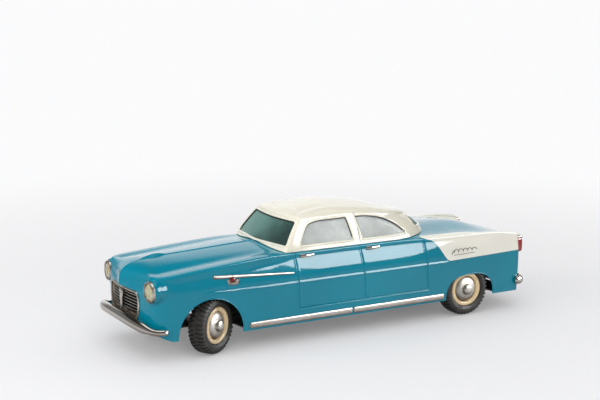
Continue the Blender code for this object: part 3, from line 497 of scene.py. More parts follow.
def half_shell(name, patches, finishes):
    """Left half of a pressing, mirrored and given the thickness of the tin; the inside takes the second finish."""
    bm = bmesh.new()
    for rows in patches:
        points, faces = grid(rows)
        verts = [bm.verts.new(((p[0]) * MM, (p[1] + SHIFT) * MM, p[2] * MM)) for p in points]
        for face in faces:
            bm.faces.new([verts[i] for i in face])
    bmesh.ops.remove_doubles(bm, verts=bm.verts, dist=0.012 * MM)
    bmesh.ops.recalc_face_normals(bm, faces=bm.faces)
    highest = max(bm.faces, key=lambda face: face.calc_center_median().z)
    if highest.normal.z < 0:
        bmesh.ops.reverse_faces(bm, faces=bm.faces)
    mesh = bpy.data.meshes.new(name)
    bm.to_mesh(mesh)
    bm.free()
    for finish in finishes:
        mesh.materials.append(finish)
    obj = bpy.data.objects.new(name, mesh)
    bpy.context.scene.collection.objects.link(obj)
    modify(obj, "MIRROR", use_axis=(True, False, False), use_clip=True, merge_threshold=0.00003)
    thick = obj.vertex_groups.new(name="thick")
    for v in mesh.vertices:
        x, y, z = abs(v.co.x / MM), v.co.y / MM - SHIFT, v.co.z / MM
        crest = ease((y - 92) / 12) * ease((x - 30) / 4) * ease((z - 45) / 4)
        thick.add([v.index], lerp(1.0, 0.15, max(crest, ease((y - 142) / 3))), "REPLACE")
    modify(obj, "SOLIDIFY", thickness=TIN * MM, offset=-1.0, use_even_offset=False, material_offset=1,
           material_offset_rim=0, vertex_group="thick")
    return bake(obj)


def sweep(path, normals, section, scales=None, closed=False):
    """Section of (along side, along normal) points carried along a path; scales holds one (side, normal) per point."""
    rows = []
    count = len(path)
    for k, point in enumerate(path):
        if closed:
            before, after = path[k - 1], path[(k + 1) % count]
        else:
            before, after = path[max(k - 1, 0)], path[min(k + 1, count - 1)]
        tangent = (Vector(after) - Vector(before)).normalized()
        side = tangent.cross(Vector(normals[k])).normalized()
        up = side.cross(tangent)
        a, b = scales[k] if scales else (1, 1)
        rows.append([Vector(point) + side * (s * a) + up * (n * b) for s, n in section])
    rows = [row + row[:1] for row in rows]
    points, faces = grid(rows, closed)
    if not closed:
        n = len(rows[0])
        faces += [tuple(range(n - 1))[::-1], tuple(range(len(points) - n, len(points) - 1))]
    return points, faces


def solid(name, pieces, finishes, sharp=35, move=True):
    """One object from several (points, faces) lists, doubles merged and faced outward."""
    bm = bmesh.new()
    for points, faces in pieces:
        verts = [bm.verts.new(Vector(p) * MM) for p in points]
        made = []
        for face in faces:
            try:
                made.append(bm.faces.new([verts[i] for i in face]))
            except ValueError:
                pass
        bmesh.ops.remove_doubles(bm, verts=verts, dist=0.0015 * MM)
        made = [f for f in made if f.is_valid]
        bmesh.ops.recalc_face_normals(bm, faces=made)
    if move:
        bmesh.ops.translate(bm, verts=bm.verts, vec=(0, SHIFT * MM, 0))
    mesh = bpy.data.meshes.new(name)
    bm.to_mesh(mesh)
    bm.free()
    for finish in finishes:
        mesh.materials.append(finish)
    obj = bpy.data.objects.new(name, mesh)
    bpy.context.scene.collection.objects.link(obj)
    smooth(obj, sharp)
    return obj


def oval(half_width, half_height, count=16, power=2.0, low=0.0):
    """Superellipse section; low lifts its lower half, for a strip that lies on a surface."""
    points = []
    for k in range(count):
        turn = 2 * math.pi * k / count
        c, s = math.cos(turn), math.sin(turn)
        x = half_width * math.copysign(abs(c) ** (2 / power), c)
        y = half_height * math.copysign(abs(s) ** (2 / power), s)
        points.append((x, max(y, -low) if low else y))
    return points


def lathe(profile, steps, place=None):
    """Profile of (radius, distance outward) turned about +X, then carried by a matrix in millimetres."""
    rows = []
    for k in range(steps):
        turn = 2 * math.pi * k / steps
        rows.append([(d, r * math.cos(turn), r * math.sin(turn)) for r, d in profile])
    points, faces = grid(rows, True)
    if place is not None:
        points = [place @ Vector(p) for p in points]
    return points, faces


def refined(profile, step=0.35):
    """Profile with points added so that no span is longer than a step."""
    made = [profile[0]]
    for a, b in zip(profile, profile[1:]):
        count = max(1, math.ceil(math.dist(a, b) / step))
        made += [(lerp(a[0], b[0], k / count), lerp(a[1], b[1], k / count)) for k in range(1, count + 1)]
    return made


def spline(profile, count):
    """Smooth curve through profile points (Catmull-Rom), for turned and swept shapes."""
    made = []
    last = len(profile) - 1
    for i in range(last):
        p = [np.array(profile[clamp(k, 0, last)], float) for k in (i - 1, i, i + 1, i + 2)]
        for j in range(count):
            t = j / count
            made.append(tuple(0.5 * (2 * p[1] + (p[2] - p[0]) * t + (2 * p[0] - 5 * p[1] + 4 * p[2] - p[3]) * t**2
                                     + (3 * p[1] - p[0] - 3 * p[2] + p[3]) * t**3)))
    return made + [tuple(profile[-1])]


# ---------------------------------------------------------------- materials
class Look:
    """A node material, built up by calls that return sockets."""

    def __init__(self, name):
        self.material = bpy.data.materials.new(name)
        self.material.use_nodes = True
        self.tree = self.material.node_tree
        self.tree.nodes.clear()
        self.where = self.add("TexCoord").outputs["Object"]

    def add(self, kind, inputs=None, **settings):
        node = self.tree.nodes.new("ShaderNode" + kind)
        for key, value in settings.items():
            setattr(node, key, value)
        for key, value in (inputs or {}).items():
            socket = node.inputs[key]
            if isinstance(value, bpy.types.NodeSocket):
                self.tree.links.new(value, socket)
            else:
                socket.default_value = value
        return node

    def noise(self, scale, detail=3.0, rough=0.5, stretch=None):
        where = self.where
        if stretch:
            where = self.add("Mapping", {"Vector": where, "Scale": stretch}).outputs[0]
        made = self.add("TexNoise", {"Vector": where, "Scale": scale, "Detail": detail, "Roughness": rough})
        return made.outputs["Fac"]

    def span(self, value, low, high, a=0.0, b=1.0):
        made = self.add("MapRange", {0: value, 1: low, 2: high, 3: a, 4: b}, interpolation_type="SMOOTHSTEP")
        return made.outputs[0]

    def math(self, kind, a, b=0.0):
        return self.add("Math", {0: a, 1: b}, operation=kind).outputs[0]

    def mix(self, share, a, b):
        node = self.tree.nodes.new("ShaderNodeMix")
        node.data_type = "RGBA"
        for k, value in ((0, share), (6, a), (7, b)):
            if isinstance(value, bpy.types.NodeSocket):
                self.tree.links.new(value, node.inputs[k])
            else:
                node.inputs[k].default_value = value if k == 0 else (*value[:3], 1.0)
        return node.outputs[2]

    def bump(self, height, distance, strength=1.0, normal=None):
        inputs = {"Height": height, "Distance": distance * MM, "Strength": strength}
        if normal is not None:
            inputs["Normal"] = normal
        return self.add("Bump", inputs).outputs[0]

    def finish(self, **inputs):
        """Principled surface from keyword inputs named like its sockets, with spaces as underscores."""
        sockets = {key.replace("_", " "): value for key, value in inputs.items()}
        shader = self.add("BsdfPrincipled", sockets)
        self.add("OutputMaterial", {"Surface": shader.outputs[0]})
        return self.material

    def surface(self, shader):
        self.add("OutputMaterial", {"Surface": shader})
        return self.material


def rgb(r, g, b):
    """Linear colour from display values of 0 to 255."""
    return tuple((v / 255 / 12.92) if v < 10.3 else ((v / 255 + 0.055) / 1.055) ** 2.4 for v in (r, g, b)) + (1.0,)


def enamel(name, colour, deep, fin=None):
    """Stoved enamel on tin: slow colour drift, faint ripple, fine specks and rubbed spots; fin is the second colour,
    edged by a thin band of painted shade at its stamped step.
    """
    look = Look(name)
    drift = look.span(look.noise(18, 2), 0.35, 0.65)
    base = look.mix(drift, colour, deep)
    speck = look.span(look.noise(2600, 1), 0.72, 0.78)
    normal = look.bump(look.noise(420, 2), 0.03, 0.35)
    if fin:
        edge = look.add("Attribute", attribute_name="fin").outputs["Fac"]
        base = look.mix(look.span(edge, -0.07, 0.07), base, look.mix(drift, fin, tuple(c * 0.93 for c in fin)))
        step = look.span(edge, -0.32, 0.0)
        # A thin band just outside the ivory border is darkened towards deep teal: painted shade at the foot of the
        # stamped step.
        line = look.math("MULTIPLY", look.span(edge, -0.55, -0.2), look.span(edge, 0.1, -0.1))
        base = look.mix(look.math("MULTIPLY", line, 0.22), base, (0.0, 0.06, 0.08, 1))
        normal = look.bump(step, 0.22, 0.8, normal)
    base = look.mix(look.math("MULTIPLY", speck, 0.35), base, (0.05, 0.05, 0.045, 1))
    rough = look.span(look.noise(60, 4, 0.6), 0.3, 0.75, 0.16, 0.28)
    return look.finish(Base_Color=base, Roughness=rough, Normal=normal, Coat_Weight=1.0, Coat_Roughness=0.035,
                       Coat_IOR=1.40, Coat_Normal=normal, Specular_IOR_Level=0.04)


def plate(name, colour, dull, low=0.10, high=0.30, grime=0.5):
    """Nickel plate: warm, with cloudy dull patches, brown freckles, fine rubbed scratches and painted shade on faces
    that turn downward.
    """
    look = Look(name)
    cloud = look.span(look.noise(70, 5, 0.65), 0.38, 0.66)
    freckle = look.math("MULTIPLY", look.span(look.noise(900, 3, 0.6), 0.60, 0.72), grime)
    base = look.mix(freckle, look.mix(cloud, colour, dull), (0.16, 0.10, 0.06, 1))
    # Faces that turn downward are darkened towards brown: painted shade, a dark reflection under rounded trims and
    # bumpers.
    up = look.add("SeparateXYZ", {0: look.add("NewGeometry").outputs["Normal"]}).outputs[2]
    base = look.mix(look.span(up, 0.15, -0.55, 0.0, 0.72), base, (0.13, 0.095, 0.07, 1))
    scratch = look.noise(900, 2, 0.5, (1.0, 0.08, 1.0))
    normal = look.bump(look.math("ADD", look.noise(500, 3), look.math("MULTIPLY", scratch, 0.5)), 0.02, 0.4)
    return look.finish(Base_Color=base, Metallic=1.0, Normal=normal,
                       Roughness=look.math("ADD", look.span(cloud, 0, 1, low, high),
                                           look.math("MULTIPLY", freckle, 0.3)))


def rubber(name):
    look = Look(name)
    dust = look.span(look.noise(140, 4, 0.6), 0.42, 0.75)
    base = look.mix(dust, (0.016, 0.0145, 0.013, 1), (0.042, 0.038, 0.034, 1))
    normal = look.bump(look.noise(1800, 3, 0.6), 0.05, 0.5)
    rough = look.span(dust, 0, 1, 0.5, 0.78)
    return look.finish(Base_Color=base, Roughness=rough, Normal=normal, Specular_IOR_Level=0.45)


def plain(name, colour, other, scale, low, high, metal=0.0, relief=0.03, relief_scale=600, stretch=None, **more):
    look = Look(name)
    cloud = look.span(look.noise(scale, 4, 0.6, stretch), 0.35, 0.68)
    normal = look.bump(look.noise(relief_scale, 3, 0.55, stretch), relief, 0.5)
    return look.finish(Base_Color=look.mix(cloud, colour, other), Metallic=metal, Normal=normal,
                       Roughness=look.span(cloud, 0, 1, low, high), **more)


def celluloid(name, tint, haze, share, gloss_share, sweep_x=0.0):
    """Thin sheet: clear, with a milky part that catches light, ripples and a sheen; sweep_x adds milky haze towards its
    upper far side, a painted reflection.
    """
    look = Look(name)
    ripple = look.bump(look.noise(55, 2), 0.5, 0.5)
    cloud = look.span(look.noise(40, 4, 0.6), 0.25, 0.8, 0.7, 1.3)
    # Milky haze rising towards the upper far side: a painted reflection haze.
    if sweep_x:
        place = look.add("SeparateXYZ", {0: look.where}).outputs
        far = look.math("ADD", look.math("MULTIPLY", place[0], -1.0), look.math("MULTIPLY", place[2], 0.7))
        glow = look.span(look.math("ADD", far, look.math("MULTIPLY", look.noise(60, 3), 0.03)), 0.035, 0.095)
        cloud = look.math("ADD", cloud, look.math("MULTIPLY", glow, sweep_x))
    fog = look.math("MULTIPLY", cloud, share)
    clear = look.add("BsdfTransparent", {"Color": tint}).outputs[0]
    milk = look.add("BsdfDiffuse", {"Color": haze, "Normal": ripple}).outputs[0]
    through = look.add("BsdfTranslucent", {"Color": haze, "Normal": ripple}).outputs[0]
    body = look.add("MixShader", {0: 0.4, 1: milk, 2: through}).outputs[0]
    mixed = look.add("MixShader", {0: fog, 1: clear, 2: body}).outputs[0]
    gloss = look.add("BsdfGlossy", {"Roughness": 0.08, "Normal": ripple}).outputs[0]
    rim = look.add("Fresnel", {"IOR": 1.45, "Normal": ripple}).outputs[0]
    return look.surface(look.add("MixShader", {0: look.math("MULTIPLY", rim, gloss_share), 1: mixed, 2: gloss}).outputs[0])


TEAL_C, TEAL_D = (0.0, 0.250, 0.350, 1), (0.0, 0.222, 0.318, 1)
IVORY_C, IVORY_D = (0.87, 0.835, 0.71, 1), (0.85, 0.81, 0.665, 1)
TEAL = enamel("teal_enamel", TEAL_C, TEAL_D, (0.98, 0.955, 0.85, 1))
IVORY = enamel("ivory_enamel", IVORY_C, IVORY_D)
TEAL_TRIM = enamel("teal_trim", TEAL_C, TEAL_D)
RING = enamel("ring_enamel", (0.84, 0.66, 0.40, 1), (0.78, 0.58, 0.33, 1))
NICKEL = plate("nickel_plate", (0.64, 0.61, 0.565, 1), (0.52, 0.465, 0.40, 1), 0.08, 0.20, 0.25)
DOME = plate("nickel_dome", (0.56, 0.54, 0.50, 1), (0.44, 0.42, 0.38, 1), 0.34, 0.48, 0.3)
PALE = plate("pale_plate", (0.80, 0.765, 0.70, 1), (0.62, 0.57, 0.48, 1), 0.30, 0.46, 0.3)
TRIM = plate("trim_plate", (0.52, 0.485, 0.455, 1), (0.38, 0.345, 0.31, 1), 0.30, 0.46, 0.5)
BRONZED = plate("worn_nickel", (0.50, 0.43, 0.35, 1), (0.32, 0.25, 0.19, 1), 0.22, 0.40, 0.35)
# Near-black inside of the pressings, also used for the shadow lines: painted shade of the hollow body.
INSIDE = plain("inside_painted_shade", (0.014, 0.016, 0.017, 1), (0.030, 0.032, 0.030, 1), 60, 0.5, 0.75)
INKY = plain("dark_plate", (0.10, 0.085, 0.07, 1), (0.05, 0.042, 0.036, 1), 300, 0.3, 0.5, 0.8)
STEEL = plain("bare_steel", (0.42, 0.42, 0.43, 1), (0.24, 0.22, 0.20, 1), 180, 0.28, 0.5, 1.0, 0.04, 900)
TINPLATE = plain("tinplate", (0.50, 0.50, 0.49, 1), (0.34, 0.33, 0.31, 1), 90, 0.3, 0.5, 1.0, 0.03, 700, (1, 0.2, 1))
BRASS = plain("gear_brass", (0.72, 0.54, 0.24, 1), (0.45, 0.31, 0.13, 1), 200, 0.25, 0.45, 1.0)
LEAD = plain("flywheel_lead", (0.20, 0.20, 0.22, 1), (0.12, 0.12, 0.13, 1), 160, 0.5, 0.7, 1.0, 0.08, 500)
RUBBER = rubber("tyre_rubber")
RED = plain("lamp_red", (0.42, 0.012, 0.012, 1), (0.26, 0.006, 0.008, 1), 150, 0.12, 0.25, 0, 0.03, 500,
            Coat_Weight=0.6)
DARK_RED = plain("button_red", (0.20, 0.012, 0.012, 1), (0.10, 0.006, 0.006, 1), 300, 0.2, 0.35, 0, 0.03, 900)
# Near-black sheet behind the grille bars: painted shade of the hollow nose seen through the gaps.
GRILLE_SHADE = plain("grille_painted_shade", (0.005, 0.0045, 0.004, 1), (0.010, 0.009, 0.008, 1), 200, 0.6, 0.8, Specular_IOR_Level=0.1)
LENS = plain("headlight_lens", (0.62, 0.54, 0.36, 1), (0.42, 0.34, 0.20, 1), 220, 0.10, 0.22, 0, 0.03, 700,
             Coat_Weight=0.8, Subsurface_Weight=0.15)
SCREEN_SHEET = celluloid("celluloid_screen", (0.24, 0.46, 0.41, 1), (0.46, 0.78, 0.72, 1), 0.10, 0.55, 4.5)
PANE = celluloid("celluloid_pane", (0.93, 0.97, 0.95, 1), (0.97, 1.0, 0.98, 1), 0.74, 0.14)


# ---------------------------------------------------------------- body and roof pieces
def rounded(corners, steps=6):
    """Closed outline from (a, b, reach) corners, each eased over its reach along both edges."""
    made = []
    count = len(corners)
    for k, (a, b, reach) in enumerate(corners):
        here = np.array((a, b))
        sides = []
        for other in (corners[k - 1], corners[(k + 1) % count]):
            away = np.array(other[:2]) - here
            length = np.linalg.norm(away)
            sides.append(here + away / length * min(reach, 0.49 * length))
        for j in range(steps + 1):
            t = j / steps
            made.append(tuple((1 - t) ** 2 * sides[0] + 2 * t * (1 - t) * here + t**2 * sides[1]))
    return made


def superellipse(centre_y, base_z, half, height, power, steps=44):
    points = []
    for step in range(steps + 1):
        turn = math.pi * step / steps
        c, s = math.cos(turn), math.sin(turn)
        points.append((centre_y + half * math.copysign(abs(c) ** (2 / power), c),
                       base_z + height * abs(s) ** (2 / power)))
    return points


FRONT_ARCH = superellipse(-102.8, 14.5, 23.0, 23.0, 2.0)
REAR_ARCH = superellipse(101.6, 12.0, 20.7, 18.0, 2.7)
FRONT_WINDOW = rounded([(-34.9, 64.2, 1.3), (-31.6, 71.5, 4), (-27.2, 77.6, 4), (-19.5, 79.1, 5), (3.4, 79.3, 1.5),
                        (6.4, 64.2, 1.5)])
REAR_WINDOW = rounded([(10.1, 79.2, 1.4), (20.0, 79.0, 6), (32.2, 76.6, 6), (42.4, 71.8, 6), (50.4, 65.2, 0.7),
                       (49.6, 64.1, 0.7), (13.9, 64.1, 1.5)])
SCREEN = rounded([(-28.2, 79.0, 2.2), (28.2, 79.0, 2.2), (34.0, 64.6, 1.6), (20.0, 64.9, 6), (-20.0, 64.9, 6),
                  (-34.0, 63.9, 1.6)])
BACKLIGHT = rounded([(-20.0, 72.0, 3), (20.0, 72.0, 3), (25.4, 66.3, 1.6), (14.0, 65.2, 6), (-14.0, 65.2, 6),
                     (-25.4, 66.3, 1.6)])
GRILLE = rounded([(-21.6, 43.2, 4.2), (21.6, 43.2, 4.2), (23.3, 36.5, 6), (22.6, 31.0, 5), (20.0, 25.2, 3.6),
                  (-20.0, 25.2, 3.6), (-22.6, 31.0, 5), (-23.3, 36.5, 6)])


GRILLE_INNER = rounded([(-19.8, 42.0, 3.4), (19.8, 42.0, 3.4), (21.4, 36.6, 5), (20.6, 32.0, 4), (18.4, 28.8, 2.8),
                        (-18.4, 28.8, 2.8), (-20.6, 32.0, 4), (-21.4, 36.6, 5)])


def plan_loop(margin):
    shares = [0.0, 0.06, 0.12, 0.18, 0.25, 0.285, 0.32, 0.45, 0.58, 0.65, 0.7, 0.75, 0.8, 0.85, 0.9, 0.95, 1.0]
    pulled = []
    for share in shares:
        x, y = roof_ring(share, 0.0)
        pulled.append((x * (1 - margin / 37.0), 15.0 + (y - 15.0) * (1 - margin / 65.0)))
    return pulled + [(-x, y) for x, y in reversed(pulled[1:-1])]


def fin_distance(x, y, z):
    """Signed distance in millimetres to the border of the ivory fin panel, positive inside it."""
    lead = along(((41.0, 83.4), (42.4, 81.6), (45, 79.4), (48, 77.2), (52, 74.4), (55, 72.0), (57.5, 68.8),
                  (58.7, 65.0), (60.0, 61.5)), z)
    a = (y - lead) * 0.80
    b = z - lerp(41.7, 43.3, clamp((y - 82) / 61))
    soft = 1.6
    both = min(a, b) - max(soft - abs(a - b), 0.0) ** 2 / (4 * soft)
    return min(both, abs(x) - 33.2, 145.3 - y)


def paint_fins(body):
    values = [fin_distance(v.co.x / MM, v.co.y / MM - SHIFT, v.co.z / MM) for v in body.data.vertices]
    layer = body.data.attributes.new("fin", "FLOAT", "POINT")
    layer.data.foreach_set("value", np.array(values, np.float32))


def surface_tree(obj):
    graph = bpy.context.evaluated_depsgraph_get()
    return BVHTree.FromObject(obj, graph)


def on_side(tree, outline, start, direction, lift=0.0):
    """Points and normals where rays along a direction meet a surface; outline points are full positions."""
    points, normals = [], []
    for p in outline:
        origin = Vector((p[0], p[1] + SHIFT, p[2])) * MM + Vector(start) * MM
        hit, normal, _, _ = tree.ray_cast(origin, Vector(direction))
        if hit is None:
            continue
        if normal.dot(Vector(direction)) > 0:
            normal = -normal
        points.append(Vector((hit.x / MM, hit.y / MM - SHIFT, hit.z / MM)) + normal * lift)
        normals.append(normal)
    return points, normals


def smoothed(normals, rounds=3):
    made = [Vector(n) for n in normals]
    for _ in range(rounds):
        made = [(made[max(k - 1, 0)] + made[k] * 2 + made[min(k + 1, len(made) - 1)]).normalized()
                for k in range(len(made))]
    return made


def dense(points, step, closed=False):
    """Points along a polyline with a spacing no larger than a step."""
    made = []
    pairs = list(zip(points, points[1:])) + ([(points[-1], points[0])] if closed else [])
    for a, b in pairs:
        count = max(1, math.ceil(math.dist(a, b) / step))
        made += [tuple(lerp(u, v, k / count) for u, v in zip(a, b)) for k in range(count)]
    return made if closed else made + [tuple(points[-1])]


def flip(piece):
    """Mirror image of a piece across the car's middle plane."""
    points, faces = piece
    return [(-p[0], p[1], p[2]) for p in points], [tuple(reversed(f)) for f in faces]


def both_sides(piece):
    return [piece, flip(piece)]


def make_body():
    body = half_shell("body_skin", body_patches(), [TEAL, INSIDE])
    arches = [prism([(points[0][0], 5.0)] + points + [(points[-1][0], 5.0)], -60, 60, "X")
              for points in (FRONT_ARCH, REAR_ARCH)]
    cut(body, arches + [prism(GRILLE, -170, -130, "Y"), prism(plan_loop(4.2), 50, 70, "Z")])
    smooth(body, 32)
    paint_fins(body)
    return shown(body, "root", "teal_enamel", "body_shell")


def make_roof():
    roof = half_shell("roof_skin", roof_patches(), [IVORY, INSIDE])
    bare = surface_tree(roof)
    line, normals = on_side(bare, dense([(0, 9.8, 81.5), (0, 11.6, 62.4)], 0.5), (80, 0, 0), (-1, 0, 0))
    seam = [(-0.3, -0.34), (0.3, -0.34), (0.3, 0.6), (-0.3, 0.6)]
    low_line = [p - n * 0.27 for p, n in zip(line, normals)]
    dark = both_sides(sweep(low_line, smoothed(normals), oval(0.28, 0.1, 8)))
    cutters = []
    for points, faces in both_sides(sweep(line, smoothed(normals), seam)):
        cutters.append(solid("seam", [(points, faces)], []))
    cutters += [prism(FRONT_WINDOW, -50, 50, "X"), prism(REAR_WINDOW, -50, 50, "X"),
                prism(SCREEN, -70, -25, "Y"), prism(BACKLIGHT, 50, 110, "Y")]
    cut(roof, cutters)
    smooth(roof, 32)
    shown(roof, "root", "ivory_enamel", "roof_shell")
    beads = []
    bead = oval(0.75, 0.42, 10)
    for outline in (FRONT_WINDOW, REAR_WINDOW):
        grown = dense([(0, y, z) for y, z in widened(outline, 0.55)], 0.7, True)
        points, normals = on_side(bare, grown, (80, 0, 0), (-1, 0, 0))
        beads += both_sides(sweep(points, normals, bead, closed=True))
    for outline, direction in ((SCREEN, 1), (BACKLIGHT, -1)):
        grown = dense([(x, 0, z) for x, z in widened(outline, 0.55)], 0.7, True)
        points, normals = on_side(bare, grown, (0, -direction * 150, 0), (0, direction, 0))
        beads.append(sweep(points, normals, bead, closed=True))
    shown(solid("window_beads", beads, [IVORY], 60), "root", "ivory_enamel")
    for outline, foot in ((FRONT_WINDOW, 66.0), (REAR_WINDOW, 66.5)):
        run = upper_run([(0, y, z) for y, z in widened(outline, -0.2)], foot)
        points, normals = on_side(bare, run, (80, 0, 0), (-1, 0, 0), -0.5)
        dark += both_sides(sweep(points, smoothed(normals), oval(0.5, 0.4, 10)))
    run = upper_run([(x, 0, z) for x, z in widened(SCREEN, -0.2)], 66.0)
    points, normals = on_side(bare, run, (0, -150, 0), (0, 1, 0), -0.5)
    dark.append(sweep(points, smoothed(normals), oval(0.45, 0.4, 10)))
    shown(solid("shadow_lines", dark, [INSIDE], 60), "root", "ivory_enamel")


def upper_run(loop, foot):
    """Part of a closed outline that lies above a height, in order."""
    points = [p for p in dense(loop, 0.6, True) if p[2] > foot]
    gaps = [math.dist(points[k - 1], points[k]) for k in range(len(points))]
    first = gaps.index(max(gaps))
    return points[first:] + points[:first]


def widened(outline, grow):
    """Outline moved outward by a distance."""
    points = np.array(outline, float)
    keep = [k for k in range(len(points)) if np.linalg.norm(points[k] - points[k - 1]) > 1e-4]
    points = points[keep]
    area = sum(a[0] * b[1] - b[0] * a[1] for a, b in zip(points, np.roll(points, -1, 0)))
    tangent = np.roll(points, -1, 0) - np.roll(points, 1, 0)
    normal = np.stack([tangent[:, 1], -tangent[:, 0]], 1) * (1 if area > 0 else -1)
    return [tuple(p) for p in points + grow * normal / np.linalg.norm(normal, axis=1)[:, None]]


def glazing(name, shares, parts, finish, both=False, sign=1, depth=TIN + 0.3):
    rows = []
    for share in shares:
        row = []
        for part in parts:
            a = Vector(roof_point(share, part))
            step = Vector(roof_point(share, min(part + 0.02, 1))) - Vector(roof_point(share, max(part - 0.02, 0)))
            other = Vector(roof_point(min(share + 0.004, 1), part)) - Vector(roof_point(max(share - 0.004, 0), part))
            normal = step.cross(other).normalized()
            if normal.dot(a - Vector((0, 10, 60))) < 0:
                normal = -normal
            row.append(a - normal * depth)
        rows.append(row)
    if both:
        rows = [[Vector((-p.x, p.y, p.z)) for p in row] for row in reversed(rows[1:])] + rows
    rows = [[(p.x * sign, p.y, p.z) for p in row] for row in rows]
    points, faces = grid(rows)
    obj = to_mesh(name, points, faces, [finish])
    modify(obj, "SOLIDIFY", thickness=0.3 * MM, offset=0.0, use_even_offset=False)
    bake(obj)
    smooth(obj, 40)
    return shown(obj, "root", "celluloid", name)


def make_glass():
    parts = [lerp(0.1, 0.985, k / 14) for k in range(15)]
    glazing("windscreen", np.linspace(0, 0.245, 24), parts, SCREEN_SHEET, True)
    glazing("rear_window", np.linspace(1, 0.81, 20), [lerp(0.2, 0.96, k / 12) for k in range(13)], SCREEN_SHEET, True)
    for side, sign in (("left", 1), ("right", -1)):
        glazing("side_window_" + side, np.linspace(0.335, 0.74, 40), parts, PANE, sign=sign)


def make_arch_lips(tree):
    """Rolled edges of the wheel openings."""
    lips = []
    for outline in (FRONT_ARCH, REAR_ARCH):
        grown = dense([(0, y, z) for y, z in widened(outline + [(outline[0][0] - 0.01, 5.0)], 0.34)[1:-2]], 0.8)
        points, normals = on_side(tree, grown, (80, 0, 0), (-1, 0, 0), -0.08)
        lips += both_sides(sweep(points, smoothed(normals, 6), oval(0.36, 0.34, 10)))
    shown(solid("arch_lips", lips, [TEAL_TRIM], 60), "root", "teal_enamel")


# ---------------------------------------------------------------- trim pieces
def strip(tree, line, half_height, rise, section=None, lift=-0.15, step=0.8, power=2.0):
    """Strip lying on the left side along (y, z) points; half height is a function of the share of its length."""
    path = dense([(0, y, z) for y, z in line], step)
    points, normals = on_side(tree, path, (80, 0, 0), (-1, 0, 0), lift)
    last = len(points) - 1
    scales = [(half_height(k / last), rise * end_ease(k / last, last * step, 1.0)) for k in range(last + 1)]
    return sweep(points, smoothed(normals, 8), section or oval(1.0, 1.0, 18, power), scales)


def end_ease(share, length, reach):
    near = min(share, 1 - share) * length / reach
    return math.sqrt(clamp(1 - (1 - clamp(near + 0.04)) ** 2))


def dome(radius, height, place, steps=20, flat=0.0):
    """Rivet or button head standing on +X of its place."""
    profile = [(0.0, height)]
    for k in range(1, 7):
        turn = math.pi / 2 * k / 6
        profile.append((flat + (radius - flat) * math.sin(turn), height * math.cos(turn) ** 0.8 if k < 6 else 0.0))
    profile.append((radius, -0.6))
    profile.append((0.0, -0.6))
    return lathe(profile, steps, place)


def facing(point, normal):
    """Matrix that carries +X to a normal at a point, in millimetres."""
    return Matrix.Translation(point) @ Vector((1, 0, 0)).rotation_difference(normal).to_matrix().to_4x4()


def place_on(tree, y, z):
    points, normals = on_side(tree, [(0, y, z)], (80, 0, 0), (-1, 0, 0))
    return points[0], normals[0]


def two(name, piece, body, slot, finish, stem, sharp=35):
    """Left and right pieces that stand for a pair of CAD nodes."""
    for side, sign in (("left", 1), ("right", -1)):
        made = piece if sign > 0 else flip(piece)
        obj = solid(f"{name}_{side}", [made] if isinstance(piece, tuple) else made, [finish], sharp)
        shown(obj, body, slot, f"{stem}_{side}")


def make_side_trim(tree):
    spear = strip(tree, [(-101.6, 51.4), (-42.3, 47.8)],
                  lambda s: lerp(1.3, 0.8, s) * end_ease(s, 59, 1.0), 1.0, power=2.4)
    two("wing_spear", spear, "root", "nickel_plate", TRIM, "wing_spear")
    for name, a, b in (("sill_front_trim", -75.6, 3.15), ("sill_rear_trim", 3.65, 79.0)):
        sill = strip(tree, [(a, 16.4), (b, 16.4)], lambda s: 2.15 * end_ease(s, 79, 0.35), 1.05, power=3.0)
        two(name, sill, "root", "nickel_plate", TRIM, name)
    rivets = []
    for y, z in ((-73.6, 16.5), (-99.9, 51.3), (0.9, 16.4), (5.9, 16.4), (77.0, 16.4)):
        point, normal = place_on(tree, y, z)
        rivets += both_sides(dome(0.62, 0.45, facing(point + normal * 0.72, normal), 16))
    shown(solid("trim_rivets", rivets, [BRONZED], 50), "root", "nickel_plate")
    point, normal = place_on(tree, -87.5, 47.2)
    matrix = facing(point, normal)
    outline = rounded([(-4.6, 1.5, 0.5), (4.9, 1.5, 0.5), (3.4, -1.9, 0.5), (-3.2, -1.9, 0.5)], 4)
    rings = []
    for height, grow in ((-0.5, 0.0), (0.45, 0.0), (0.65, -0.22)):
        rings.append([matrix @ Vector((height, y, z)) for y, z in widened(outline, grow)])
    points, faces = grid([ring + ring[:1] for ring in rings])
    n = len(rings[0]) + 1
    faces += [tuple(range(n - 1))[::-1], tuple(range(2 * n, 3 * n - 1))]
    two("indicator_plate", (points, faces), "root", "nickel_plate", NICKEL, "indicator_plate")
    button = dome(2.0, 1.5, facing(point + normal * 0.55 + Vector((0, -0.3, 1.5)), normal), 28, 0.9)
    two("indicator_button", button, "root", "lamp_red", DARK_RED, "indicator_button")


def make_handles(tree):
    for stem, a, b, z in (("front_handle", -37.0, -26.0, 58.0), ("rear_handle", 15.0, 26.0, 57.8)):
        path = dense([(0, a + 0.4, z), (0, b, z + 0.1)], 0.5)
        points, normals = on_side(tree, path, (80, 0, 0), (-1, 0, 0))
        normals = [Vector((1, 0, 0.12)).normalized()] * len(points)
        base_x = max(p.x for p in points)
        last = len(points) - 1
        line, scales = [], []
        for k, p in enumerate(points):
            s = k / last
            line.append(Vector((base_x + 0.5 + 1.1 * math.sin(math.pi * clamp(s * 1.25)) ** 0.6 + 0.5 * s, p.y, p.z)))
            scales.append((lerp(1.15, 0.75, s) * end_ease(s, 11, 0.9), 0.62 * end_ease(s, 11, 0.9)))
        grip = sweep(line, normals, oval(1, 1, 14, 2.4), scales)
        foot = dome(1.35, 1.1, Matrix.Translation((base_x - 0.3, a + 1.5, z - 0.2)), 20, 0.5)
        for side, sign in (("left", 1), ("right", -1)):
            pieces = [grip, foot] if sign > 0 else [flip(grip), flip(foot)]
            shown(solid(f"{stem}_{side}", pieces, [NICKEL], 50), "root", "nickel_plate", f"{stem}_{side}")


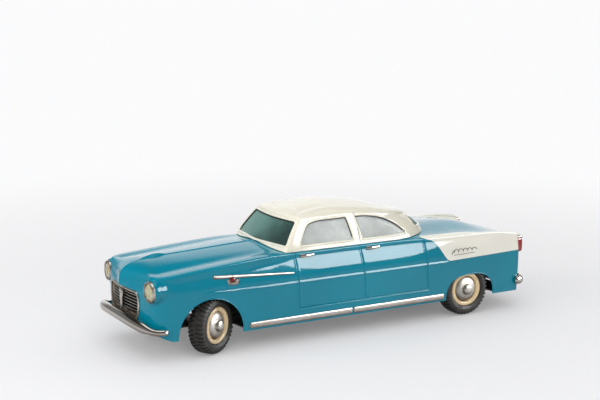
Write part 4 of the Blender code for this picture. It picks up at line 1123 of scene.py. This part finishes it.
def make_headlights():
    x, y, z = LAMP
    turns = {sign: Matrix.Rotation(sign * LAMP_TOE - math.pi / 2, 4, "Z") for sign in (1, -1)}
    bezel = spline([(5.55, 1.0), (5.6, 1.75), (5.95, 2.2), (6.4, 2.15), (6.75, 1.6), (6.95, 0.6), (7.0, -0.6)], 5)
    bezel = bezel + [(7.0, -3.0), (5.5, -3.0), (5.55, 1.0)]
    lens = [(5.6 * math.sin(t), 1.0 + 1.5 * math.cos(t) ** 1.1) for t in np.linspace(0, math.pi / 2 * 0.97, 56)]
    for k in range(3, 54):
        r, d = lens[k]
        ring = 0.13 * math.cos(r * 4.4) - 0.35 * bell(r - 2.3, 0.3) if 1.2 < r < 5.3 else 0.0
        lens[k] = (r, d + ring)
    lens[0] = (0.0, 2.5)
    lens = lens + [(5.6, 0.9), (5.6, -2.0), (0.0, -2.0)]
    pod = spline([(6.95, -0.6), (7.15, 0.0), (7.45, 0.0), (7.7, -0.6), (7.75, -2.0), (7.5, -3.6), (7.0, -5.0)], 4)
    pod += [(6.95, -5.6), (6.95, -1.4), (6.95, -0.6)]
    pods = [lathe(pod, 72, Matrix.Translation((sign * x, y, z)) @ turns[sign]) for sign in (1, -1)]
    shown(solid("headlight_pods", pods, [TEAL_TRIM], 50), "root", "teal_enamel")
    for side, sign in (("left", 1), ("right", -1)):
        place = Matrix.Translation((sign * x, y + 0.3, z)) @ turns[sign]
        obj = solid("headlight_bezel_" + side, [lathe(bezel, 64, place)], [PALE], 40)
        shown(obj, "root", "nickel_plate", "headlight_bezel_" + side)
        obj = solid("headlight_lens_" + side, [lathe(lens, 72, place)], [LENS], 40)
        shown(obj, "root", "headlight_lens", "headlight_lens_" + side)


def loft(outlines, levels, axis="Z"):
    """Closed solid through (a, b) outlines of equal count at levels of one axis."""
    k = "XYZ".index(axis)
    rows = [[tuple(list(p[:k]) + [level] + list(p[k:])) for p in outline] for outline, level in zip(outlines, levels)]
    points, faces = grid([row + row[:1] for row in rows])
    n = len(rows[0]) + 1
    faces += [tuple(range(n - 1))[::-1], tuple(range(len(points) - n, len(points) - 1))]
    return points, faces


def make_tail_lamps():
    def outline(grow):
        corners = [(36.6 - grow, 144.4, 0.4), (40.7 + grow, 143.6 - grow, 1.0), (40.3 + grow, 148.2 + grow, 1.6),
                   (37.0 - grow, 149.0 + grow, 1.4)]
        return rounded(corners, 5)

    levels = (41.6, 41.8, 42.4, 44, 47, 50, 51.3, 51.6)
    grows = (-0.5, -0.15, 0.1, 0.22, 0.3, 0.15, 0.0, -0.3)
    lamp = loft([outline(g) for g in grows], levels)
    cap = loft([outline(g) for g in (-0.1, 0.25, 0.3, 0.1, -0.6)], (51.5, 51.8, 52.5, 53.1, 53.5))
    two("tail_lamp", lamp, "root", "lamp_red", RED, "tail_lamp", 50)
    shown(solid("tail_lamp_caps", both_sides(cap), [BRONZED], 50), "root", "nickel_plate")


def nose_face(x):
    return along(NOSE_PLAN, min(abs(x), 33.0))


def make_grille():
    def ring(grow, forward):
        return [(x, nose_face(x) - forward, z) for x, z in dense(widened(GRILLE, grow), 0.8, True)]

    path = ring(-0.2, 0.35)
    rim = sweep(path, [Vector((0, -1, 0))] * len(path), oval(0.75, 0.7, 16, 2.4), closed=True)
    rows = []
    for share, forward in ((0.0, 0.3), (0.35, -0.1), (0.7, -0.7), (1.0, -1.6), (1.0, -2.4)):
        loop = [(lerp(a[0], b[0], share), lerp(a[1], b[1], share)) for a, b in zip(GRILLE, GRILLE_INNER)]
        rows.append([(x, nose_face(x) - forward, z) for x, z in loop + loop[:1]])
    funnel = to_mesh("grille_funnel", *grid(rows), [BRONZED])
    modify(funnel, "SOLIDIFY", thickness=0.3 * MM, offset=0.0)
    smooth(bake(funnel), 50)
    shown(funnel, "root", "nickel_plate")
    shown(solid("grille_surround", [rim], [PALE], 50), "root", "nickel_plate", "grille_surround")
    bars = []
    for k in range(6):
        z = 30.4 + 2.0 * k
        half = 20.6 - 0.12 * abs(k - 3) ** 2
        xs = np.linspace(-half, half, 60)
        line = [(x, nose_face(x) + 0.9 - 0.35 * math.cos(x / half * 1.4), z + 0.25 * (1 - (x / half) ** 2)) for x in xs]
        bars.append(sweep(line, [Vector((0, -1, 0))] * 60, oval(0.34, 0.42, 12, 2.2)))
    shown(solid("grille_bars", bars, [PALE], 50), "root", "nickel_plate", "grille_bars")
    # Near-black sheet behind the bars: painted shade of the hollow nose.
    back = [[(x, nose_face(x) + 2.6, z) for z in np.linspace(25.6, 43.0, 8)] for x in np.linspace(-22.8, 22.8, 24)]
    obj = to_mesh("grille_shade_sheet", *grid(back), [GRILLE_SHADE])
    modify(obj, "SOLIDIFY", thickness=0.4 * MM, offset=0.0)
    shown(bake(obj), "root", "nickel_plate")
    spine = [(0, nose_face(0) - 0.45 - 0.35 * math.sin(math.pi * k / 24), lerp(28.4, 41.4, k / 24)) for k in range(25)]
    widths = [(lerp(1.3, 2.2, ease(k / 24) ** 1.5) * end_ease(k / 24, 13, 1.2), 0.9 * end_ease(k / 24, 13, 1.2))
              for k in range(25)]
    crest = [sweep(spine, [Vector((0, -1, 0))] * 25, oval(1, 1, 16, 2.2), widths)]
    turn = Matrix.Rotation(-math.pi / 2, 4, "Z")
    for z, r in ((40.3, 2.1), (30.0, 1.5)):
        crest.append(dome(r, 0.9, Matrix.Translation((0, nose_face(0) - 0.9, z)) @ turn, 28, 0.5))
    shown(solid("grille_crest", crest, [PALE], 50), "root", "nickel_plate")
    line = [(x, nose_face(x) - 0.35, 23.9 + 0.3 * (x / 20) ** 2) for x in np.linspace(-20.5, 20.5, 60)]
    scales = [(end_ease(k / 59, 41, 2), end_ease(k / 59, 41, 2)) for k in range(60)]
    lip = sweep(line, [Vector((0, -1, 0))] * 60, oval(0.55, 0.7, 12, 2.2), scales)
    shown(solid("valance_lip", [lip], [NICKEL], 50), "root", "nickel_plate")


def blade(path, middle, half, bulge, sign):
    """Bowed and rolled bumper blade with rounded ends."""
    section = [(1.0, -0.55), (1.03, -0.2), (1.0, 0.1), (0.86, 0.45), (0.62, 0.76), (0.32, 0.94), (0.0, 1.0),
               (-0.32, 0.94), (-0.62, 0.76), (-0.86, 0.45), (-1.0, 0.1), (-1.03, -0.2), (-1.0, -0.55), (-0.9, -0.3),
               (-0.72, 0.1), (-0.4, 0.42), (0.0, 0.52), (0.4, 0.42), (0.72, 0.1), (0.9, -0.3)]
    lengths = np.concatenate([[0], np.cumsum([math.dist(a, b) for a, b in zip(path, path[1:])])])
    points, normals, scales = [], [], []
    for k, (x, y) in enumerate(path):
        before, after = path[max(k - 1, 0)], path[min(k + 1, len(path) - 1)]
        dx, dy = after[0] - before[0], after[1] - before[1]
        size = math.hypot(dx, dy)
        near = min(lengths[k], lengths[-1] - lengths[k])
        end = math.sqrt(clamp(1 - (1 - clamp(near / 2.6 + 0.05)) ** 2))
        points.append((x, y, middle(x)))
        normals.append(Vector((dy / size, -dx / size, 0)) * sign)
        scales.append((half(x) * end, bulge * max(end, 0.3)))
    return sweep(points, normals, section, scales)


def arc_path(half, tip, depth, power_x, power_y, sign, count):
    """Plan path of a bumper, evenly spaced."""
    raw = []
    for k in range(-800, 801):
        turn = math.pi / 2 * k / 800
        x = half * math.copysign(abs(math.sin(turn)) ** power_x, turn)
        raw.append((x, tip - sign * depth * max(math.cos(turn), 0.0) ** power_y))
    raw = np.array(raw)
    length = np.concatenate([[0], np.cumsum(np.linalg.norm(np.diff(raw, axis=0), axis=1))])
    want = np.linspace(0, length[-1], count)
    return [(float(np.interp(w, length, raw[:, 0])), float(np.interp(w, length, raw[:, 1]))) for w in want]


def make_bumpers():
    front = blade(arc_path(42.8, -134.0, 18.6, 0.8, 0.75, 1, 120), lambda x: 25.9 - 5.0 * (abs(x) / 42.0) ** 2.5,
                  lambda x: lerp(3.4, 2.1, ease((abs(x) - 32) / 10)), 2.2, 1)
    shown(solid("front_bumper", [front], [NICKEL], 50), "root", "nickel_plate", "front_bumper")
    rear = blade(arc_path(42.2, 140.5, 8.6, 0.35, 0.35, -1, 120), lambda x: 21.0,
                 lambda x: lerp(3.5, 3.0, ease((abs(x) - 36) / 6)), 2.0, -1)
    shown(solid("rear_bumper", [rear], [NICKEL], 50), "root", "nickel_plate", "rear_bumper")


def make_flourish(tree):
    """Plain plated scroll on each fin, in place of the maker's script."""
    start, length, middle = FLOURISH
    path = [(0, start + 0.5 * k - 1.0, middle - 2.2 + 1.35 * k - 0.18 * k * k) for k in range(5)]
    for k in range(1, 171):
        s = k / 170
        turn = 2 * math.pi * 5 * s
        tall = lerp(1.25, 0.75, s)
        path.append((0, start + 1.0 + (length - 1.0) * s - 0.75 * math.sin(turn), middle + 0.3 * s - tall * math.cos(turn)))
    points, normals = on_side(tree, path, (80, 0, 0), (-1, 0, 0), 0.16)
    wire = sweep(points, smoothed(normals, 10), oval(0.2, 0.24, 8))
    under = dense([(0, start + 1, middle - 2.9), (0, start + length - 2, middle - 2.5)], 0.8)
    points, normals = on_side(tree, under, (80, 0, 0), (-1, 0, 0), 0.16)
    line = sweep(points, smoothed(normals, 10), oval(0.16, 0.24, 8))
    shown(solid("fin_flourish", both_sides(wire) + both_sides(line), [INKY], 60), "root", "nickel_plate")


# ---------------------------------------------------------------- wheels
LUGS = 40
PHASES = (0.0, 0.04, 0.08, 0.3, 0.5, 0.54, 0.58, 0.62, 0.8, 0.96)
TREAD = ((12.35, 1.9, 0), (12.5, 1.2, 0), (13.0, 0.75, 0), (13.7, 0.55, 0), (14.3, 0.42, 0), (14.5, 0.28, 0),
         (14.8, 0.28, 0), (15.0, 0.42, 0), (15.7, 0.5, 0), (16.3, 0.72, 0.1), (16.8, 1.05, 0.4), (17.3, 1.5, 0.75),
         (17.7, 2.1, 0.85), (17.95, 2.8, 0.85), (18.05, 3.6, 0.85), (18.1, 4.6, 0.85), (18.12, 5.4, 0.85),
         (18.12, 5.85, 0.85), (18.12, 6.1, 0.2), (18.12, 6.45, 0.0))


def lug(phase, row):
    """Height share of a lug of the left or right row at a phase."""
    phase = (phase - 0.5 * row) % 1.0
    return clamp(min(phase / 0.04, (0.54 - phase) / 0.04))


def tyre_piece():
    middle = 6.45
    half = [(r, d, a, 0) for r, d, a in TREAD]
    profile = half + [(r, 2 * middle - d, a, 1) for r, d, a, _ in reversed(half[:-1])]
    rows = []
    for tooth in range(LUGS):
        for phase in PHASES:
            row = []
            for k, (r, d, amount, side) in enumerate(profile):
                a, b = profile[max(k - 1, 0)], profile[min(k + 1, len(profile) - 1)]
                size = math.hypot(b[0] - a[0], b[1] - a[1]) or 1.0
                out_r, out_d = (b[1] - a[1]) / size, -(b[0] - a[0]) / size
                slant = 0.34 * clamp(abs(d - middle) / 5.0)
                turn = 2 * math.pi * (tooth + phase + slant) / LUGS
                height = amount * lug(phase, side)
                if abs(d - middle) < 0.7:
                    height = 0.45 * max(lug(phase, 0), lug(phase, 1)) * (1 if abs(d - middle) > 0.1 else 0.6)
                radius = min(r + out_r * height, WHEEL_R)
                row.append((d + out_d * height, radius * math.cos(turn), radius * math.sin(turn)))
            rows.append(row + row[:1])
    return grid(rows, True)


def wheel_place(spin, stem_sign):
    joint = JOINTS[spin]
    position = Vector(joint["pos_m"]) / MM
    outward_x = Vector(joint["axis"]) * stem_sign
    turn = math.atan2(outward_x.y, outward_x.x)
    return Matrix.Translation((position.x, position.y, position.z)) @ Matrix.Rotation(turn, 4, "Z")


def make_wheels():
    tyre = tyre_piece()
    ring = spline([(9.1, 9.2), (9.2, 10.6), (9.6, 11.7), (10.4, 12.2), (11.4, 12.15), (12.0, 11.7), (12.3, 11.0)], 4)
    ring = [(1.65, 3.4), (1.65, 8.6), (8.6, 8.6)] + ring + [(12.3, 2.0), (11.6, 2.0), (11.6, 7.6), (3.0, 7.6),
                                                          (3.0, 3.4), (1.65, 3.4)]
    cap = [(0, 15.3), (1.5, 15.22), (2.7, 14.9), (3.45, 14.35), (3.75, 13.6), (3.78, 12.95)]
    cap = spline(cap, 3) + spline([(4.0, 12.66), (4.5, 12.58), (5.4, 12.42), (6.6, 12.1), (7.8, 11.4), (8.6, 10.4),
                                   (9.05, 9.35)], 4) + [(8.5, 9.1), (8.0, 9.3), (6.4, 11.3), (3.0, 12.1), (0, 12.3)]
    rear = {"left": JOINTS["rear_axle_spin"]["pos_m"], "right": JOINTS["rear_axle_spin"]["pos_m"]}
    for end in ("front", "rear"):
        for side, sign in (("left", 1), ("right", -1)):
            if end == "front":
                place = wheel_place(f"front_{side}_spin", sign)
                body = f"front_wheel_{side}"
            else:
                low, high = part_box(f"rear_tyre_{side}")
                inner = (low.x if sign > 0 else high.x) / MM - sign * 0.5
                x, y, z = (v / MM for v in rear[side])
                place = Matrix.Translation((inner, y, z)) @ Matrix.Rotation(0 if sign > 0 else math.pi, 4, "Z")
                body = "rear_axle"
            for stem, profile, finish, slot, steps in (
                    ("wheel_disc", ring, RING, "ring_enamel", 96), ("hub_cap", cap, DOME, "nickel_plate", 96)):
                piece = lathe(profile, steps, place)
                obj = solid(f"{end}_{stem}_{side}", [piece], [finish], 40, move=False)
                shown(obj, body, slot, f"{end}_{stem}_{side}")
            points, faces = tyre
            obj = solid(f"{end}_tyre_{side}", [([place @ Vector(p) for p in points], faces)], [RUBBER], 28, move=False)
            shown(obj, body, "tyre_rubber", f"{end}_tyre_{side}")


# ---------------------------------------------------------------- frame materials, studio and camera
def dress_frame():
    looks = {"base_plate": TINPLATE, "drive_gear": BRASS, "intermediate_gear": BRASS, "flywheel": LEAD}
    for name, node in frame["nodes"].items():
        look = looks.get(name, STEEL)
        node.data.materials.clear()
        node.data.materials.append(look)


def make_studio():
    """Pale floor, lit near the car and evened out with a glow far from it."""
    half = 15.0
    floor = bpy.data.meshes.new("studio_floor")
    floor.from_pydata([(-half, -half, 0), (half, -half, 0), (half, half, 0), (-half, half, 0)], [], [(0, 1, 2, 3)])
    obj = bpy.data.objects.new("studio_floor", floor)
    bpy.context.scene.collection.objects.link(obj)
    look = Look("studio_floor")
    cloud = look.span(look.noise(6, 3), 0.3, 0.7, 0.0, 1.0)
    base = look.mix(cloud, (0.855, 0.85, 0.86, 1), (0.87, 0.865, 0.875, 1))
    lit = look.add("BsdfPrincipled", {"Base Color": base, "Roughness": 0.6, "Specular IOR Level": 0.2,
                                      "Normal": look.bump(look.noise(300, 3), 0.02, 0.3)})
    ray = look.add("VectorMath", {0: look.add("NewGeometry").outputs["Incoming"], 1: (0.87, -0.49, 0.0)},
                   operation="DOT_PRODUCT").outputs["Value"]
    straight = look.add("LightPath").outputs["Is Camera Ray"]
    seen = look.math("MAXIMUM", straight, look.span(ray, 0.84, 0.97, 0.3, 1.0))
    glow = look.add("Emission", {"Color": (0.93, 0.93, 0.94, 1), "Strength": look.math("MULTIPLY", seen, FAR_FLOOR)})
    away = look.add("VectorMath", {0: look.where}, operation="LENGTH").outputs["Value"]
    back = look.add("VectorMath", {0: look.where, 1: (-0.87, 0.49, 0.0)}, operation="DOT_PRODUCT").outputs["Value"]
    share = look.math("MULTIPLY", look.span(away, 0.04, 0.75, 0.15, 1.0), look.span(back, -1.1, -0.3, 0.55, 1.0))
    floor.materials.append(look.surface(look.add("MixShader", {0: share, 1: lit.outputs[0], 2: glow.outputs[0]}).outputs[0]))


def soft_light(name, place, aim, width, height, power, colour=(1, 1, 1)):
    light = bpy.data.lights.new(name, "AREA")
    light.shape = "RECTANGLE"
    light.size, light.size_y = width, height
    light.energy = power
    light.color = colour
    obj = bpy.data.objects.new(name, light)
    bpy.context.scene.collection.objects.link(obj)
    obj.location = place
    obj.rotation_euler = (Vector(aim) - Vector(place)).to_track_quat("-Z", "Y").to_euler()
    return obj


def make_world():
    """Studio walls: white backdrop behind the car, soft ceiling, dark room behind the camera."""
    world = bpy.data.worlds.new("studio")
    bpy.context.scene.world = world
    world.use_nodes = True
    tree = world.node_tree
    tree.nodes.clear()
    where = tree.nodes.new("ShaderNodeTexCoord").outputs["Generated"]

    def towards(direction, low, high, a, b):
        dot = tree.nodes.new("ShaderNodeVectorMath")
        dot.operation = "DOT_PRODUCT"
        tree.links.new(where, dot.inputs[0])
        dot.inputs[1].default_value = direction
        ramp = tree.nodes.new("ShaderNodeMapRange")
        ramp.interpolation_type = "SMOOTHSTEP"
        tree.links.new(dot.outputs["Value"], ramp.inputs[0])
        for k, value in enumerate((low, high, a, b)):
            ramp.inputs[k + 1].default_value = value
        return ramp.outputs[0]

    def joined(kind, a, b):
        node = tree.nodes.new("ShaderNodeMath")
        node.operation = kind
        for socket, value in zip(node.inputs, (a, b)):
            if isinstance(value, float):
                socket.default_value = value
            else:
                tree.links.new(value, socket)
        return node.outputs[0]

    behind = towards((-0.87, 0.49, 0.05), 0.72, 0.95, WORLD_FRONT, WORLD_BACK)
    backdrop = joined("MULTIPLY", behind, towards((0, 0, 1), 0.42, 0.66, 1.0, 0.12))
    seen = joined("MAXIMUM", backdrop, towards((0, 0, 1), 0.86, 0.97, 0.0, WORLD_TOP))
    rays = tree.nodes.new("ShaderNodeLightPath").outputs
    soft = joined("MULTIPLY", towards((-0.5, 0.3, 0.8), -0.4, 0.8, 0.22, 0.55), rays["Is Diffuse Ray"])
    sharp = joined("MULTIPLY", seen, joined("SUBTRACT", 1.0, rays["Is Diffuse Ray"]))
    shade = tree.nodes.new("ShaderNodeBackground")
    shade.inputs[0].default_value = (0.98, 0.99, 1.0, 1)
    tree.links.new(joined("ADD", soft, sharp), shade.inputs[1])
    out = tree.nodes.new("ShaderNodeOutputWorld")
    tree.links.new(shade.outputs[0], out.inputs[0])


WORLD_FRONT, WORLD_BACK, WORLD_TOP, FAR_FLOOR = 0.24, 0.98, 1.5, 1.04
FLOURISH = (85.7, 20.5, 48.3)


def make_camera():
    camera = bpy.data.objects.new("camera", bpy.data.cameras.new("camera"))
    bpy.context.scene.collection.objects.link(camera)
    camera.data.sensor_width = 36.0
    camera.data.lens = 79.2
    camera.data.clip_start = 0.05
    camera.location = Vector((779.2, -455.9 + SHIFT, 250.6)) * MM
    aim = Vector((0.0, -15.1 + SHIFT, 87.68)) * MM
    camera.rotation_euler = (aim - camera.location).to_track_quat("-Z", "Y").to_euler()
    bpy.context.scene.camera = camera


dress_frame()
body = make_body()
side = surface_tree(body)
make_roof()
make_glass()
make_arch_lips(side)
make_side_trim(side)
make_handles(side)
make_headlights()
make_tail_lamps()
make_grille()
make_bumpers()
make_flourish(side)
make_wheels()
make_studio()
make_world()
soft_light("overhead", (-0.15, 0.1, 1.5), (0, 0, 0), 2.2, 2.0, 6.5).visible_glossy = False
soft_light("side_box", (0.774, 0.891, 0.55), (0, 0, 0.04), 1.0, 0.69, 30).visible_diffuse = False
soft_light("camera_fill", (1.2, -0.6, 0.9), (0, -0.05, 0.04), 1.4, 1.0, 10.5).visible_glossy = False
soft_light("front_fill", (0.1, -1.4, 0.6), (0, -0.1, 0.02), 1.2, 0.8, 9).visible_glossy = False
make_camera()
bpy.context.scene.view_settings.view_transform = "Standard"
